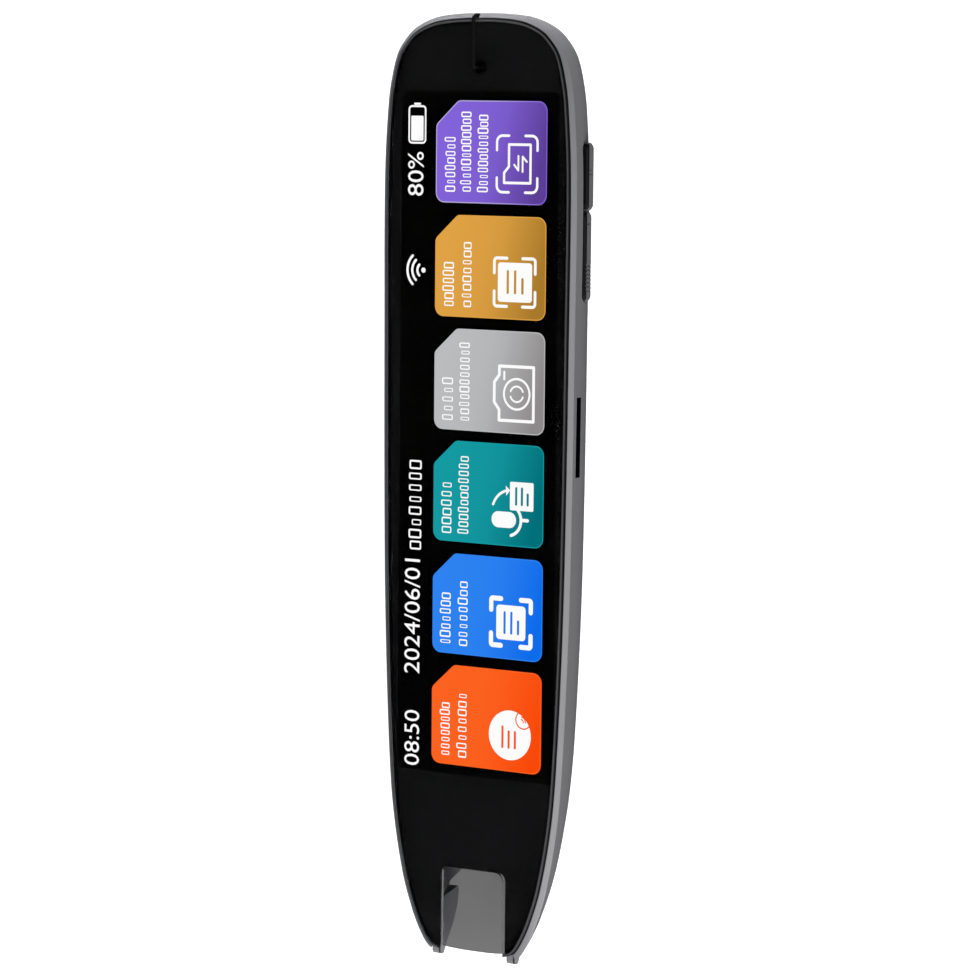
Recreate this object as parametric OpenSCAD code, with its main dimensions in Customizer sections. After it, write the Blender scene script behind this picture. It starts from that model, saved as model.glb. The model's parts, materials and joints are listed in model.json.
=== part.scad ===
// Handheld scanning translator: a slim pen-shaped body with a long touch screen,
// two side keys, a scanning window at the tip and a sprung shoe that the page presses in.
// Frame: the pen lies on its flat back, screen up. +Y runs to the lanyard end,
// -Y to the scanning tip, +X to the key side. The origin is the middle of the rest face.

/* [Body] */
// Distance from the display to the tip of the front lip
tip_l = 29.4; // [28:0.2:33]
// Distance from the display to the side of the front lip
side_border = 2.6; // [2.4:0.1:4]
// Thickness from the rest face to the glass
body_t = 10.4; // [10.2:0.1:12]
// Width of the slanted band round the front edge
chamfer_w = 0.85; // [0.6:0.05:1.3]
// Height of that slanted band
chamfer_h = 0.6; // [0.4:0.05:0.8]
// How far the glass and its bezel stand above the rim of the housing
rim_drop = 0.4; // [0.2:0.05:0.5]
// Height of the upright part of the side wall below the band
side_h = 1.7; // [1.5:0.1:2.2]
// Sideways reach of the rounded back edge
back_round = 9; // [7:0.5:11]
// Lengthways reach of the rounded back edge at the lanyard end
end_round = 8; // [6:0.5:10]
// Distance from the tip where the back starts to sweep forward
sweep_l = 54; // [48:1:60]
// Thickness of the housing floor
floor_t = 1.3; // [1.1:0.1:1.5]
// Wall from the front lip inward, where the bezel sits
ledge_w = 1; // [0.8:0.1:1.2]

/* [Front] */
// Thickness of the cover glass
glass_t = 0.9; // [0.7:0.05:1]
// Width of the bezel lip round the glass
bezel_w = 0.45; // [0.35:0.05:0.6]
// Height of the bezel frame
bezel_h = 1.6; // [1.5:0.05:1.7]
// Gap between housing and bezel
bezel_gap = 0.1; // [0.1:0.05:0.4]
// Width of the display
display_w = 30.2; // [28:0.2:33]
// Length of the display
display_l = 110.8; // [100:0.4:124]
// Distance from the lanyard end of the lip to the display
display_top = 11.6; // [11.4:0.1:13]
// Thickness of the display panel
panel_t = 0.7; // [0.5:0.1:0.8]
// Thickness of the backlight tray
tray_t = 0.7; // [0.5:0.1:0.8]

/* [Lanyard] */
// Distance from the lanyard end of the lip to the hole
lanyard_y = 7.76; // [7.3:0.02:8.2]
// Diameter of the lanyard hole
lanyard_d = 2.1; // [1.8:0.1:2.4]
// Outside diameter of the bush in the lanyard hole
bush_d = 3.4; // [3:0.1:4]
// Diameter of the lanyard cord
cord_d = 0.7; // [0.5:0.05:0.8]
// How far the cord lies to one side of the middle of the hole
cord_lean = 0.5; // [0:0.05:0.55]

/* [Keys] */
// Depth of the key centres below the glass
key_depth = 4; // [3.9:0.05:4.2]
// Height of the keys
key_h = 2.1; // [1.8:0.1:2.4]
// Distance from the lanyard end of the lip to the key pocket
pocket_top = 19.4; // [19:0.2:21]
// Length of the power key
power_l = 10.7; // [9:0.1:12]
// Length of the function key
func_l = 14.3; // [12:0.1:15]
// Gap round the keys and between them
key_gap = 0.15; // [0.1:0.05:0.25]
// Height of the power key above the side wall
power_proud = 0.6; // [0.3:0.05:0.7]
// Height of the function key above the side wall
func_proud = 0.3; // [0.1:0.05:0.4]
// Number of grip ribs on the function key
rib_n = 7; // [5:1:9]

/* [Side openings] */
// Distance from the lanyard end of the lip to the speaker slot
slot_top = 60; // [59:0.2:62]
// Length of the speaker slot
slot_l = 12.6; // [10:0.2:14]
// Height of the speaker slot
slot_h = 1.3; // [1:0.1:1.4]
// Distance from the lanyard end of the lip to the middle of the charging port
port_y = 29.8; // [28:0.1:32]
// Width of the charging port shell
port_w = 8.94; // [8.6:0.02:9.2]
// Height of the charging port shell
port_h = 3.2; // [3:0.05:3.3]

/* [Scanning tip] */
// Half width of the scanning channel
chan_hw = 6.3; // [6:0.05:6.6]
// Distance from the tip of the lip to the notch in the glass
notch_l = 14.15; // [13:0.1:15]
// Corner radius of the notch
notch_r = 1.5; // [1:0.1:2]
// Distance from the tip of the lip to the top of the channel
chan_l = 13.35; // [12.6:0.05:13.6]
// Thickness of the tinted window
window_t = 0.6; // [0.4:0.05:0.6]
// Thickness of each shoe cheek
cheek_t = 1.62; // [1.4:0.02:1.7]
// How far the shoe toes reach past the tip of the lip
toe_out = 0.8; // [0.3:0.1:1.2]
// Travel of the shoe
shoe_travel = 0.6; // [0.4:0.05:0.65]
// Gap between the shoe and its slots
shoe_gap = 0.15; // [0.1:0.01:0.2]
// Outside diameter of the shoe springs
spring_d = 2.4; // [2:0.1:2.6]
// Wire diameter of the shoe springs
wire_d = 0.36; // [0.3:0.02:0.4]

/* [Inside] */
// Thickness of the main board
board_t = 0.8; // [0.6:0.1:1]
// Width of the battery
battery_w = 21.5; // [18:0.5:22]
// Thickness of the battery
battery_t = 4.6; // [3.6:0.1:4.8]
// Diameter of the camera lens barrel
lens_d = 3.6; // [3:0.1:3.8]

/* [Hidden] */
$fn = 48;

// Small distance by which a cut runs past a face
cut = 1;
lip_l = display_top + display_l + tip_l;
lip_w = display_w + 2 * side_border;
lip_hw = lip_w / 2;
top_y = lip_l / 2;
tip_y = -lip_l / 2;
out_hw = lip_hw + chamfer_w;
wall_top = rim_drop + chamfer_h + side_h;
round_h = body_t - wall_top;

// Height above the rest face of a depth below the glass
function zd(depth) = body_t - depth;
// Lengthways place of a distance from the lanyard end, and from the tip
function yt(d) = top_y - d;
function yv(d) = tip_y + d;

// Front lip outline: distance from the end, then half width as a part of lip_hw
TOP_SHAPE = [
    [0.06, 0.2], [0.45, 0.43], [1.15, 0.57], [2.3, 0.698], [3.55, 0.775], [5.6, 0.86],
    [9.1, 0.921], [13.4, 0.961], [25, 0.997]
];
TIP_SHAPE = [
    [101.4, 0.993], [74.4, 0.981], [54.4, 0.96], [33.4, 0.91], [22.7, 0.858], [12.4, 0.75],
    [6.4, 0.639], [2.9, 0.543], [1.05, 0.462], [0.35, 0.358], [0.05, 0.2]
];
RIGHT = concat(
    [for (p = TOP_SHAPE) [p[1] * lip_hw, yt(p[0])]],
    [for (p = TIP_SHAPE) [p[1] * lip_hw, yv(p[0])]]
);
CONTROL = concat(
    [[0, top_y]], RIGHT, [[0, tip_y]],
    [for (i = [len(RIGHT) - 1:-1:0]) [-RIGHT[i][0], RIGHT[i][1]]]
);
outline_steps = 3;

// Closed curve through the control points, with tangents by chord length
function wrap(list, i) = list[(i + len(list)) % len(list)];
function tangent(i) =
    let (a = wrap(CONTROL, i - 1), b = wrap(CONTROL, i), c = wrap(CONTROL, i + 1))
    (c - a) / (norm(b - a) + norm(c - b));
function between(i, t) =
    let (
        a = wrap(CONTROL, i), b = wrap(CONTROL, i + 1), d = norm(b - a),
        m = tangent(i) * d, n = tangent(i + 1) * d
    )
    (2 * t^3 - 3 * t^2 + 1) * a + (t^3 - 2 * t^2 + t) * m
    + (3 * t^2 - 2 * t^3) * b + (t^3 - t^2) * n;
LIP = [for (i = [0:len(CONTROL) - 1]) for (k = [0:outline_steps - 1]) between(i, k / outline_steps)];

// The lip outline moved outward by a distance
function normal(i) =
    let (d = wrap(LIP, i + 1) - wrap(LIP, i - 1))
    [-d[1], d[0]] / norm(d);
function moved(out) = [for (i = [0:len(LIP) - 1]) LIP[i] + out * normal(i)];

// Back form: ring at a depth, narrowed sideways, at the lanyard end and swept at the tip
nose_v = tip_l - 8.05;
sweep_n = 2.15;
function swept(q, keep, n) = keep + (1 - keep) * pow(max(0, 1 - pow(q, n)), 1 / n);
function ring(points, z, narrow, k_top, k_tip) = [
    for (p = points) [p[0] * narrow, p[1] * (p[1] > 0 ? k_top : k_tip), z]
];

// Outer skin at an angle round the back edge, 0 at the side wall and 90 at the rest face
function skin_depth(a, thick) = wall_top + (round_h - thick) * sin(a);
function skin_narrow(a) = 1 - back_round * (1 - cos(a)) / out_hw;
function skin_top(a) = 1 - end_round * (1 - cos(a)) / top_y;
outer_keep = (top_y - sweep_l) / top_y;
function skin_tip(a) = swept(skin_depth(a, 0) / body_t, outer_keep, sweep_n);
function outer_ring(a) =
    ring(moved(chamfer_w), zd(skin_depth(a, 0)), skin_narrow(a), skin_top(a), skin_tip(a));

// Inner skin: the cavity stops short of the solid nose
cavity_stop = nose_v - 0.35;
cavity_n = 3;
cavity_far = (top_y - cavity_stop) / top_y;
cavity_keep = (top_y - sweep_l) / (top_y - cavity_stop);
function cavity_tip(a) =
    cavity_far * swept(skin_depth(a, floor_t) / (body_t - floor_t), cavity_keep, cavity_n);
function inner_ring(a) =
    ring(moved(-ledge_w), zd(skin_depth(a, floor_t)), skin_narrow(a), skin_top(a), cavity_tip(a));

ANGLES = [0, 14, 28, 42, 55, 67, 78, 90];
SHELL = concat(
    [for (i = [len(ANGLES) - 1:-1:0]) inner_ring(ANGLES[i])],
    [ring(moved(-ledge_w), zd(bezel_h), 1, 1, cavity_far)],
    [ring(LIP, zd(bezel_h), 1, 1, 1)],
    [ring(LIP, zd(rim_drop), 1, 1, 1)],
    [ring(moved(0.1), zd(rim_drop), 1, 1, 1)],
    [ring(moved(chamfer_w), zd(rim_drop + chamfer_h), 1, 1, 1)],
    [for (a = ANGLES) outer_ring(a)]
);

// Closed skin through a list of rings with equal counts
module skin(rings) {
    n = len(rings[0]);
    last = len(rings) - 1;
    polyhedron(
        points = [for (r = rings) for (p = r) p],
        faces = concat(
            [[for (i = [0:n - 1]) i]],
            [for (r = [0:last - 1]) for (i = [0:n - 1]) [r * n + i, (r + 1) * n + i, r * n + (i + 1) % n]],
            [for (r = [0:last - 1]) for (i = [0:n - 1])
                [r * n + (i + 1) % n, (r + 1) * n + i, (r + 1) * n + (i + 1) % n]],
            [[for (i = [n - 1:-1:0]) last * n + i]]
        )
    );
}

// Box from low to high corner
module span(lo, hi) {
    translate(lo) cube(hi - lo);
}

// Flat plate of the lip outline moved inward, between two depths
module lip_plate(inward, depth_a, depth_b) {
    translate([0, 0, zd(depth_b)])
        linear_extrude(depth_b - depth_a)
            polygon(moved(-inward));
}

// Rounded plate between two depths, centred on x = 0
module round_plate(w, y0, y1, r, depth_a, depth_b) {
    translate([0, 0, zd(depth_b)])
        linear_extrude(depth_b - depth_a)
            round_rect(w, y0, y1, r);
}
module round_rect(w, y0, y1, r) {
    translate([-w / 2, y0 + r]) square([w, y1 - y0 - 2 * r]);
    translate([-w / 2 + r, y0]) square([w - 2 * r, y1 - y0]);
    for (x = [-w / 2 + r, w / 2 - r])
        for (y = [y0 + r, y1 - r])
            translate([x, y]) circle(r);
}

// Stadium prism along +X: length in Y, height in Z
module stadium_x(len_y, h, x0, x1) {
    r = h / 2;
    translate([x0, 0, 0])
        rotate([90, 0, 90])
            linear_extrude(x1 - x0) {
                square([len_y - h, h], center = true);
                for (s = [-1, 1])
                    translate([s * (len_y / 2 - r), 0]) circle(r);
            }
}

// Stack of flat pieces under the glass, as depths
shelf_d = glass_t + 0.1;
panel_d = shelf_d + panel_t;
tray_d = panel_d + tray_t;
chassis_t = 0.7;
chassis_d = tray_d + chassis_t;
display_y1 = yt(display_top);
display_y0 = display_y1 - display_l;

// Lanyard hole
hole_y = yt(lanyard_y);
pad_w = 5;
cord_hw = cord_d / 2 + 0.12;
cord_in = cord_d / 2 + 0.08;
end_reach = top_y + chamfer_w;

// Line of the end wall and the back at the lanyard end, moved inward by a distance
function end_line(a, inward) =
    let (
        t = [end_reach * end_round / top_y * sin(a), round_h * cos(a)],
        n = [t[1], -t[0]] / norm(t)
    )
    [end_reach * skin_top(a), zd(skin_depth(a, 0))] - inward * n;

// Keys: pocket, cap ends, flange and switch places along X
wall_keys = 1.8;
recess_x = out_hw - wall_keys;
flange_t = 0.65;
flange_x = recess_x - key_gap;
pip_l = 0.55;
pip_x = flange_x - flange_t - pip_l;
plunger_d = 1.15;
plunger_l = 1.6;
switch_x1 = pip_x - 0.6;
switch_x0 = switch_x1 - 1.8;
key_board_t = 0.6;
key_travel = 0.35;
pocket_y1 = yt(pocket_top);
power_y1 = pocket_y1 - key_gap;
power_y = power_y1 - power_l / 2;
func_y1 = power_y1 - power_l - key_gap;
func_y = func_y1 - func_l / 2;
pocket_y0 = func_y1 - func_l - key_gap;
flange_over = 0.6;
key_z = zd(key_depth);

// Charging port and speaker
port_l = 7.3;
port_x0 = -out_hw + 1.05;
slot_y = yt(slot_top + slot_l / 2);
slot_z = zd(bezel_h + 0.2 + slot_h / 2);
mesh_l = slot_l + 1.4;
mesh_t = 0.25;
mesh_x = out_hw - 2;
speaker_y1 = slot_y + 7.1;
speaker_y0 = slot_y - 7.1;
speaker_x = [-8.5, mesh_x - mesh_t - 3.4];
speaker_h = 4.2;

// Main board and what stands on it
board_d = chassis_d + port_h + 0.1;
port_z = zd(board_d) + port_h / 2;
board_hw = switch_x0 + 0.3;
board_y1 = yt(18.5);
board_y0 = speaker_y1 + 1.9;
board_hole_x = board_hw - 3;
board_hole_y = [board_y1 - 2.5, board_y0 + 5];
boss_r = 1.7;
pilot_r = 0.65;
mic_x = board_hw - 5.3;
mic_w = 1.8;
processor_l = 12.8;
processor_y1 = board_y1 - 4.2;
processor_y0 = processor_y1 - processor_l;
radio_y0 = board_y0 + 7;
radio_y1 = processor_y0 - 1.5;
chip_w = 5.6;
chip_gap = 1;
chip_y0 = board_y0 + 8.2;
chip_l = (processor_y0 - 2.8 - chip_y0 - chip_gap) / 2;
chip_x = board_hw - 7.8;
chassis_boss_z = [floor_t - 0.4, floor_t + 1.6];

// Battery
battery_d = chassis_d + 0.4;
battery_y1 = speaker_y0 - 4.2;
pad_hw = 6.5;
pad_l = 12;
wire_x = [1.8 - board_hw, 2.9 - board_hw];
wire_z = zd(5.5);

// Tip: places as distances from the tip of the lip
slot_out = chan_hw + cheek_t + 2 * shoe_gap;
inner_wall = 0.75;
bay_v = nose_v + 8.55;
bay_hw = 11.5;
bay_d = 6.2;
split_v = 9.3;
shoe_d = 1.1;
arm_d = [bezel_h + 0.15, 3.1];
lamp_board_t = 0.6;
bar_v = [nose_v + lamp_board_t + shoe_gap, nose_v + lamp_board_t + shoe_gap + 1.4];
wing_x = [slot_out + 0.2, bay_hw - 0.3];
spring_x = (wing_x[0] + wing_x[1]) / 2;
spring_z = zd(4.35);
lug_v = bar_v[1] + 4.8;
lug_t = 1.3;
lens_z = zd(5.2);
lens_gap = 0.2;
lamp_x = 4.6;
lamp_z = zd(4.9);
camera_v = [lug_v - 0.7, lug_v + 5.8];
camera_d = 6.8;
camera_board_t = 0.8;
chassis_hole_x = [10.5, 11];
chassis_hole_y = [yt(14.8), yv(lug_v + 6.2)];
battery_v = camera_v[1] + camera_board_t + 8.3;
battery_l = battery_y1 - yv(battery_v);
rail_v = lug_v + 15.7;
barrel_v = nose_v - 4;
switch_l = 2.2;

// Cheek profile as [distance from the tip, depth]
CHEEK = [
    [8.55, shoe_d], [9.85, 6.3], [9.2, 6.55], [6.6, 6.1], [4.1, 5.1], [1.1, 3.1],
    [-toe_out + 0.12, 2.2], [-toe_out, 1.75], [-toe_out + 0.14, 1.3], [-toe_out + 0.5, shoe_d]
];
// Cut that ends the fixed inner wall above the cheek
SPLIT = [
    [split_v, -1], [split_v, shoe_d], [split_v + 0.85, 2.9], [split_v + 1.55, 3],
    [split_v + 5, 11.6], [-6, 12], [-6, -1]
];

// Prism with a profile in [distance from the tip, depth], between two X places
module tip_prism(profile, x0, x1) {
    translate([x1, 0, 0])
        rotate([90, 0, -90])
            linear_extrude(x1 - x0)
                polygon([for (p = profile) [-yv(p[0]), zd(p[1])]]);
}

module bar_y(x, z, y0, y1, r) {
    translate([x, y1, z]) rotate([90, 0, 0]) cylinder(r = r, h = y1 - y0);
}
module bar_x(y, z, x0, x1, r) {
    translate([x0, y, z]) rotate([0, 90, 0]) cylinder(r = r, h = x1 - x0);
}
module bar_z(x, y, z0, z1, r) {
    translate([x, y, z0]) cylinder(r = r, h = z1 - z0);
}

// ---- Casing ----
module rear_housing() {
    color([0.3, 0.3, 0.31])
    difference() {
        union() {
            skin(SHELL);
            housing_bosses();
        }
        display_recess();
        lanyard_cuts();
        side_cuts();
        pilot_holes();
        nose_cuts();
    }
}

module housing_bosses() {
    sunk = floor_t - 0.4;
    bar_z(0, hole_y, sunk, zd(bezel_h), bush_d / 2 + 1.3);
    span([-pad_w / 2, hole_y, sunk], [pad_w / 2, top_y - 5, floor_t + 0.9]);
    for (x = [-board_hole_x, board_hole_x])
        for (y = board_hole_y)
            bar_z(x, y, sunk, zd(board_d + board_t), boss_r);
    for (i = [0, 1])
        for (s = [-1, 1])
            bar_z(s * chassis_hole_x[i], chassis_hole_y[i], chassis_boss_z[i], zd(chassis_d), boss_r);
}

module display_recess() {
    room = 0.2;
    round_plate(display_w + 2 * room, display_y0 - room, display_y1 + room, 1, bezel_h - 0.3, tray_d);
}

module lanyard_cuts() {
    bar_z(0, hole_y, -cut, body_t, bush_d / 2 + 0.02);
    groove = cord_in + cord_hw;
    translate([cord_hw - cord_lean, 0, 0])
        rotate([90, 0, -90])
            linear_extrude(2 * cord_hw)
                polygon([for (p = concat(
                    [[end_reach - groove, body_t + cut]],
                    [for (a = [0:12:84]) end_line(a, groove)],
                    [[hole_y, cord_in + cord_hw], [hole_y, -cut], [top_y + 3, -cut], [top_y + 3, body_t + cut]]
                )) [-p[0], p[1]]]);
}

module side_cuts() {
    translate([0, (pocket_y0 + pocket_y1) / 2, key_z])
        stadium_x(pocket_y1 - pocket_y0, key_h + 2 * key_gap, recess_x - cut, out_hw + cut);
    span(
        [recess_x - 2, pocket_y0 - flange_over, key_z - key_h / 2 - 0.7],
        [recess_x, pocket_y1 + flange_over, key_z + key_h / 2 + 0.6]
    );
    translate([0, yt(port_y), port_z])
        stadium_x(port_w + 0.3, port_h + 0.3, -out_hw - cut, -out_hw + 4);
    translate([0, slot_y, slot_z])
        stadium_x(slot_l, slot_h, mesh_x - cut, out_hw + cut);
    span([mesh_x - 2, slot_y - mesh_l / 2, zd(bezel_h) - 1.95], [mesh_x, slot_y + mesh_l / 2, zd(bezel_h) + 0.01]);
    bar_y(mic_x, zd(4), top_y - 6, top_y + 3, 0.4);
}

module pilot_holes() {
    for (x = [-board_hole_x, board_hole_x])
        for (y = board_hole_y)
            bar_z(x, y, floor_t + 0.3, zd(board_d), pilot_r);
    for (i = [0, 1])
        for (s = [-1, 1])
            bar_z(s * chassis_hole_x[i], chassis_hole_y[i], floor_t + 2, zd(chassis_d) + cut, pilot_r);
}

module nose_cuts() {
    span([-chan_hw, tip_y - 3, -cut], [chan_hw, yv(chan_l), body_t + cut]);
    span([-bay_hw, yv(nose_v), zd(bay_d)], [bay_hw, yv(bay_v), body_t]);
    for (s = [-1, 1]) {
        a = s * (chan_hw + inner_wall);
        b = s * slot_out;
        c = s * (chan_hw - 0.2);
        span([min(a, b), yv(split_v) - cut, zd(3.25)], [max(a, b), yv(nose_v) + cut, body_t]);
        tip_prism(SPLIT, min(b, c), max(b, c));
        bar_y(s * lamp_x, lamp_z, yv(chan_l) - cut, yv(nose_v) + cut, 1.1);
    }
    bar_y(0, lens_z, yv(chan_l) - cut, yv(bay_v), lens_d / 2 + lens_gap);
}

// ---- Front ----
module notch_cut(grow, d0, d1) {
    w = 2 * (chan_hw + grow);
    translate([0, 0, zd(d1)])
        linear_extrude(d1 - d0)
            round_rect(w, tip_y - 6, yv(notch_l) + grow, notch_r);
}

module front_bezel() {
    lip_in = bezel_gap + bezel_w;
    color([0.33, 0.33, 0.34])
    difference() {
        union() {
            difference() {
                lip_plate(bezel_gap, 0.05, bezel_h);
                lip_plate(lip_in, 0, bezel_h + cut);
            }
            difference() {
                lip_plate(bezel_gap + 0.1, shelf_d, bezel_h);
                round_plate(display_w + 0.5, display_y0 - 0.25, display_y1 + 0.25, 1, 0, bezel_h + cut);
            }
        }
        notch_cut(0.05, -cut, bezel_h + cut);
        span([-slot_out - 0.1, tip_y - 3, zd(bezel_h) - cut], [slot_out + 0.1, yv(split_v + 0.65), zd(shelf_d) - 0.02]);
        round_plate(2 * chan_hw, yv(notch_l) - 1, yv(notch_l) + 1.2, 0.4, 0.8, bezel_h + cut);
        span([-flex_w / 2 - 0.3, display_y1, 0], [flex_w / 2 + 0.3, display_y1 + 0.6, zd(shelf_d)]);
        bar_z(0, hole_y, 0, body_t, bush_d / 2 + 0.05);
    }
}

module cover_glass() {
    color([0.03, 0.03, 0.035])
    difference() {
        lip_plate(bezel_gap + bezel_w + 0.03, 0, glass_t);
        notch_cut(0, -cut, glass_t + cut);
        bar_z(0, hole_y, 0, body_t + cut, lanyard_d / 2);
    }
}

module glass_adhesive() {
    rim = bezel_gap + bezel_w + 0.25;
    color([0.12, 0.12, 0.12])
    difference() {
        lip_plate(rim, glass_t, shelf_d);
        span([-lip_w, display_y0 - 0.6, 0], [lip_w, display_y1 + 0.6, body_t]);
        notch_cut(1.4, 0, body_t);
        bar_z(0, hole_y, 0, body_t, bush_d / 2 + 0.2);
    }
}

module touch_sensor() {
    color([0.35, 0.37, 0.4])
        round_plate(display_w, display_y0, display_y1, 0.8, glass_t, shelf_d);
}

module display_panel() {
    color([0.08, 0.08, 0.1])
        round_plate(display_w, display_y0, display_y1, 0.8, shelf_d, panel_d);
}

module backlight_tray() {
    color([0.75, 0.76, 0.78])
        round_plate(display_w, display_y0, display_y1, 0.8, panel_d, tray_d);
}

flex_w = 9;
flex_t = 0.15;
module display_flex() {
    far = display_y1 + 0.4;
    near = board_y1 - 3;
    low = board_d - 0.8;
    color([0.72, 0.45, 0.15])
        translate([flex_w / 2, 0, 0])
            rotate([90, 0, -90])
                linear_extrude(flex_w)
                    polygon([
                        [-display_y1, zd(shelf_d + 0.2)], [-far, zd(shelf_d + 0.2)], [-far, zd(low)],
                        [-near, zd(low)], [-near, zd(low - flex_t)], [-far + flex_t, zd(low - flex_t)],
                        [-far + flex_t, zd(shelf_d + 0.2 + flex_t)], [-display_y1, zd(shelf_d + 0.2 + flex_t)]
                    ]);
}

// ---- Frame inside ----
function cavity_line(inward) = [
    for (p = moved(-inward)) [p[0], p[1] * (p[1] > 0 ? 1 : cavity_far)]
];
module cavity_plate(inward, depth_a, depth_b) {
    translate([0, 0, zd(depth_b)])
        linear_extrude(depth_b - depth_a)
            polygon(cavity_line(inward));
}

module chassis() {
    edge = ledge_w + 0.35;
    rail_h = 0.8;
    color([0.55, 0.56, 0.58])
    difference() {
        union() {
            intersection() {
                cavity_plate(edge, tray_d, chassis_d);
                span([-lip_w, yv(lug_v), 0], [lip_w, display_y1 + 0.5, body_t]);
            }
            difference() {
                cavity_plate(edge, chassis_d, chassis_d + rail_h);
                cavity_plate(edge + 1.1, 0, body_t);
                span([-lip_w, speaker_y1, 0], [lip_w, top_y, body_t]);
                span([0, speaker_y0, 0], [lip_w, top_y, body_t]);
                span([-lip_w, tip_y, 0], [lip_w, yv(rail_v), body_t]);
            }
            for (s = [-1, 1]) {
                a = s * wing_x[0];
                b = s * (wing_x[1] - 0.1);
                span([min(a, b), yv(lug_v), zd(5.6)], [max(a, b), yv(lug_v + lug_t), zd(chassis_d) + 0.2]);
                bar_y(s * spring_x, spring_z, yv(lug_v) - 1.4, yv(lug_v) + 0.5, spring_d / 2 - wire_d - 0.15);
            }
        }
        for (i = [0, 1])
            for (s = [-1, 1]) {
                bar_z(s * chassis_hole_x[i], chassis_hole_y[i], 0, body_t, 0.75);
                bar_z(s * chassis_hole_x[i], chassis_hole_y[i], zd(tray_d + 0.4), body_t, 1.4);
            }
        span([-flex_w / 2 - 0.3, display_y1 - 0.1, 0], [flex_w / 2 + 0.3, top_y, body_t]);
        span([speaker_x[1] + 0.6, speaker_y0, 0], [lip_w, speaker_y1, body_t]);
        span(
            [pip_x - key_travel - 0.3, pocket_y0 - flange_over - 0.3, 0],
            [lip_w, pocket_y1 + flange_over + 0.3, body_t]
        );
    }
}

// Flat-head screw with its head top at height z
module screw(x, y, z, head_r, head_h, shank_r, shank_l) {
    difference() {
        union() {
            bar_z(x, y, z - head_h, z, head_r);
            bar_z(x, y, z - head_h - shank_l, z - head_h, shank_r);
        }
        for (turn = [0, 90])
            translate([x, y, z])
                rotate([0, 0, turn])
                    cube([head_r * 1.2, 0.3, 0.4], center = true);
    }
}

module chassis_screws() {
    color([0.7, 0.7, 0.72])
        for (i = [0, 1])
            for (s = [-1, 1])
                screw(s * chassis_hole_x[i], chassis_hole_y[i], zd(tray_d), 1.3, 0.4, pilot_r - 0.05, 2.6);
}

// ---- Electronics ----
module main_board() {
    color([0.05, 0.25, 0.12])
    difference() {
        union() {
            span([-board_hw, board_y0, zd(board_d + board_t)], [board_hw, board_y1, zd(board_d)]);
            span([-flex_w / 2 - 0.5, board_y1 - 3.4, zd(board_d)], [flex_w / 2 + 0.5, board_y1 - 0.9, zd(board_d - 0.8)]);
        }
        for (x = [-board_hole_x, board_hole_x])
            for (y = board_hole_y)
                bar_z(x, y, 0, body_t, 0.75);
    }
}

module board_screws() {
    color([0.7, 0.7, 0.72])
        for (x = [-board_hole_x, board_hole_x])
            for (y = board_hole_y)
                screw(x, y, zd(board_d - 0.5), 1.2, 0.5, pilot_r - 0.05, zd(board_d) - floor_t - 0.7);
}

// Shield can with a folded lid edge
module shield(x0, x1, y0, y1, h) {
    z = zd(board_d);
    span([x0, y0, z], [x1, y1, z + h - 0.2]);
    span([x0 + 0.3, y0 + 0.3, z + h - 0.2], [x1 - 0.3, y1 - 0.3, z + h]);
}

module processor_shield() {
    color([0.72, 0.73, 0.74])
        shield(port_x0 + port_l + 1.4, board_hw - 3.5, processor_y0, processor_y1, 1.6);
}

module radio_shield() {
    color([0.72, 0.73, 0.74])
        shield(4.7 - board_hw, chip_x - 1.2, radio_y0, radio_y1, 1.4);
}

module memory_chips() {
    color([0.1, 0.1, 0.11])
        for (i = [0, 1])
            translate([chip_x, chip_y0 + i * (chip_l + chip_gap), zd(board_d)])
                cube([chip_w, chip_l, 0.9]);
}

module charging_port() {
    color([0.78, 0.79, 0.8])
        translate([0, yt(port_y), port_z]) {
            difference() {
                stadium_x(port_w, port_h, port_x0, port_x0 + port_l);
                stadium_x(port_w - 0.6, port_h - 0.64, port_x0 - cut, port_x0 + port_l - 0.8);
            }
            translate([port_x0 + 0.9, -3.35, -0.35]) cube([port_l - 1.2, 6.7, 0.7]);
        }
}

module key_board() {
    color([0.05, 0.25, 0.12])
        span([switch_x0 - key_board_t, pocket_y0 - 1, zd(board_d)], [switch_x0, board_y1 - 0.1, zd(chassis_d + 0.2)]);
}

// Side switch with a bore for its plunger
module side_switch(y) {
    color([0.15, 0.15, 0.16])
    difference() {
        span([switch_x0, y - 2.3, key_z - 1], [switch_x1, y + 2.3, key_z + 0.8]);
        bar_x(y, key_z, pip_x + key_gap - plunger_l - key_travel - 0.1, switch_x1 + cut, plunger_d / 2 + 0.06);
    }
}
module power_switch() { side_switch(power_y); }
module function_switch() { side_switch(func_y); }

module side_plunger(y) {
    color([0.85, 0.85, 0.82])
        bar_x(y, key_z, pip_x - plunger_l + 0.2, pip_x, plunger_d / 2);
}
module power_plunger() { side_plunger(power_y); }
module function_plunger() { side_plunger(func_y); }

// Key: cap with a softened edge, retaining flange on the outer end and a pip
module side_key(y0, y1, proud, flange_y0, flange_y1) {
    y = (y0 + y1) / 2;
    top = out_hw + proud;
    edge = 0.25;
    translate([0, y, key_z]) {
        stadium_x(y1 - y0, key_h, flange_x, top - edge);
        hull() {
            stadium_x(y1 - y0, key_h, top - edge - 0.01, top - edge);
            stadium_x(y1 - y0 - 2 * edge, key_h - 2 * edge, top - 0.01, top);
        }
    }
    span(
        [flange_x - flange_t, flange_y0, key_z - key_h / 2 - 0.5],
        [flange_x + 0.01, flange_y1, key_z + key_h / 2 + 0.4]
    );
    bar_x(y, key_z, pip_x, flange_x - flange_t + 0.01, 0.9);
}

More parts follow.
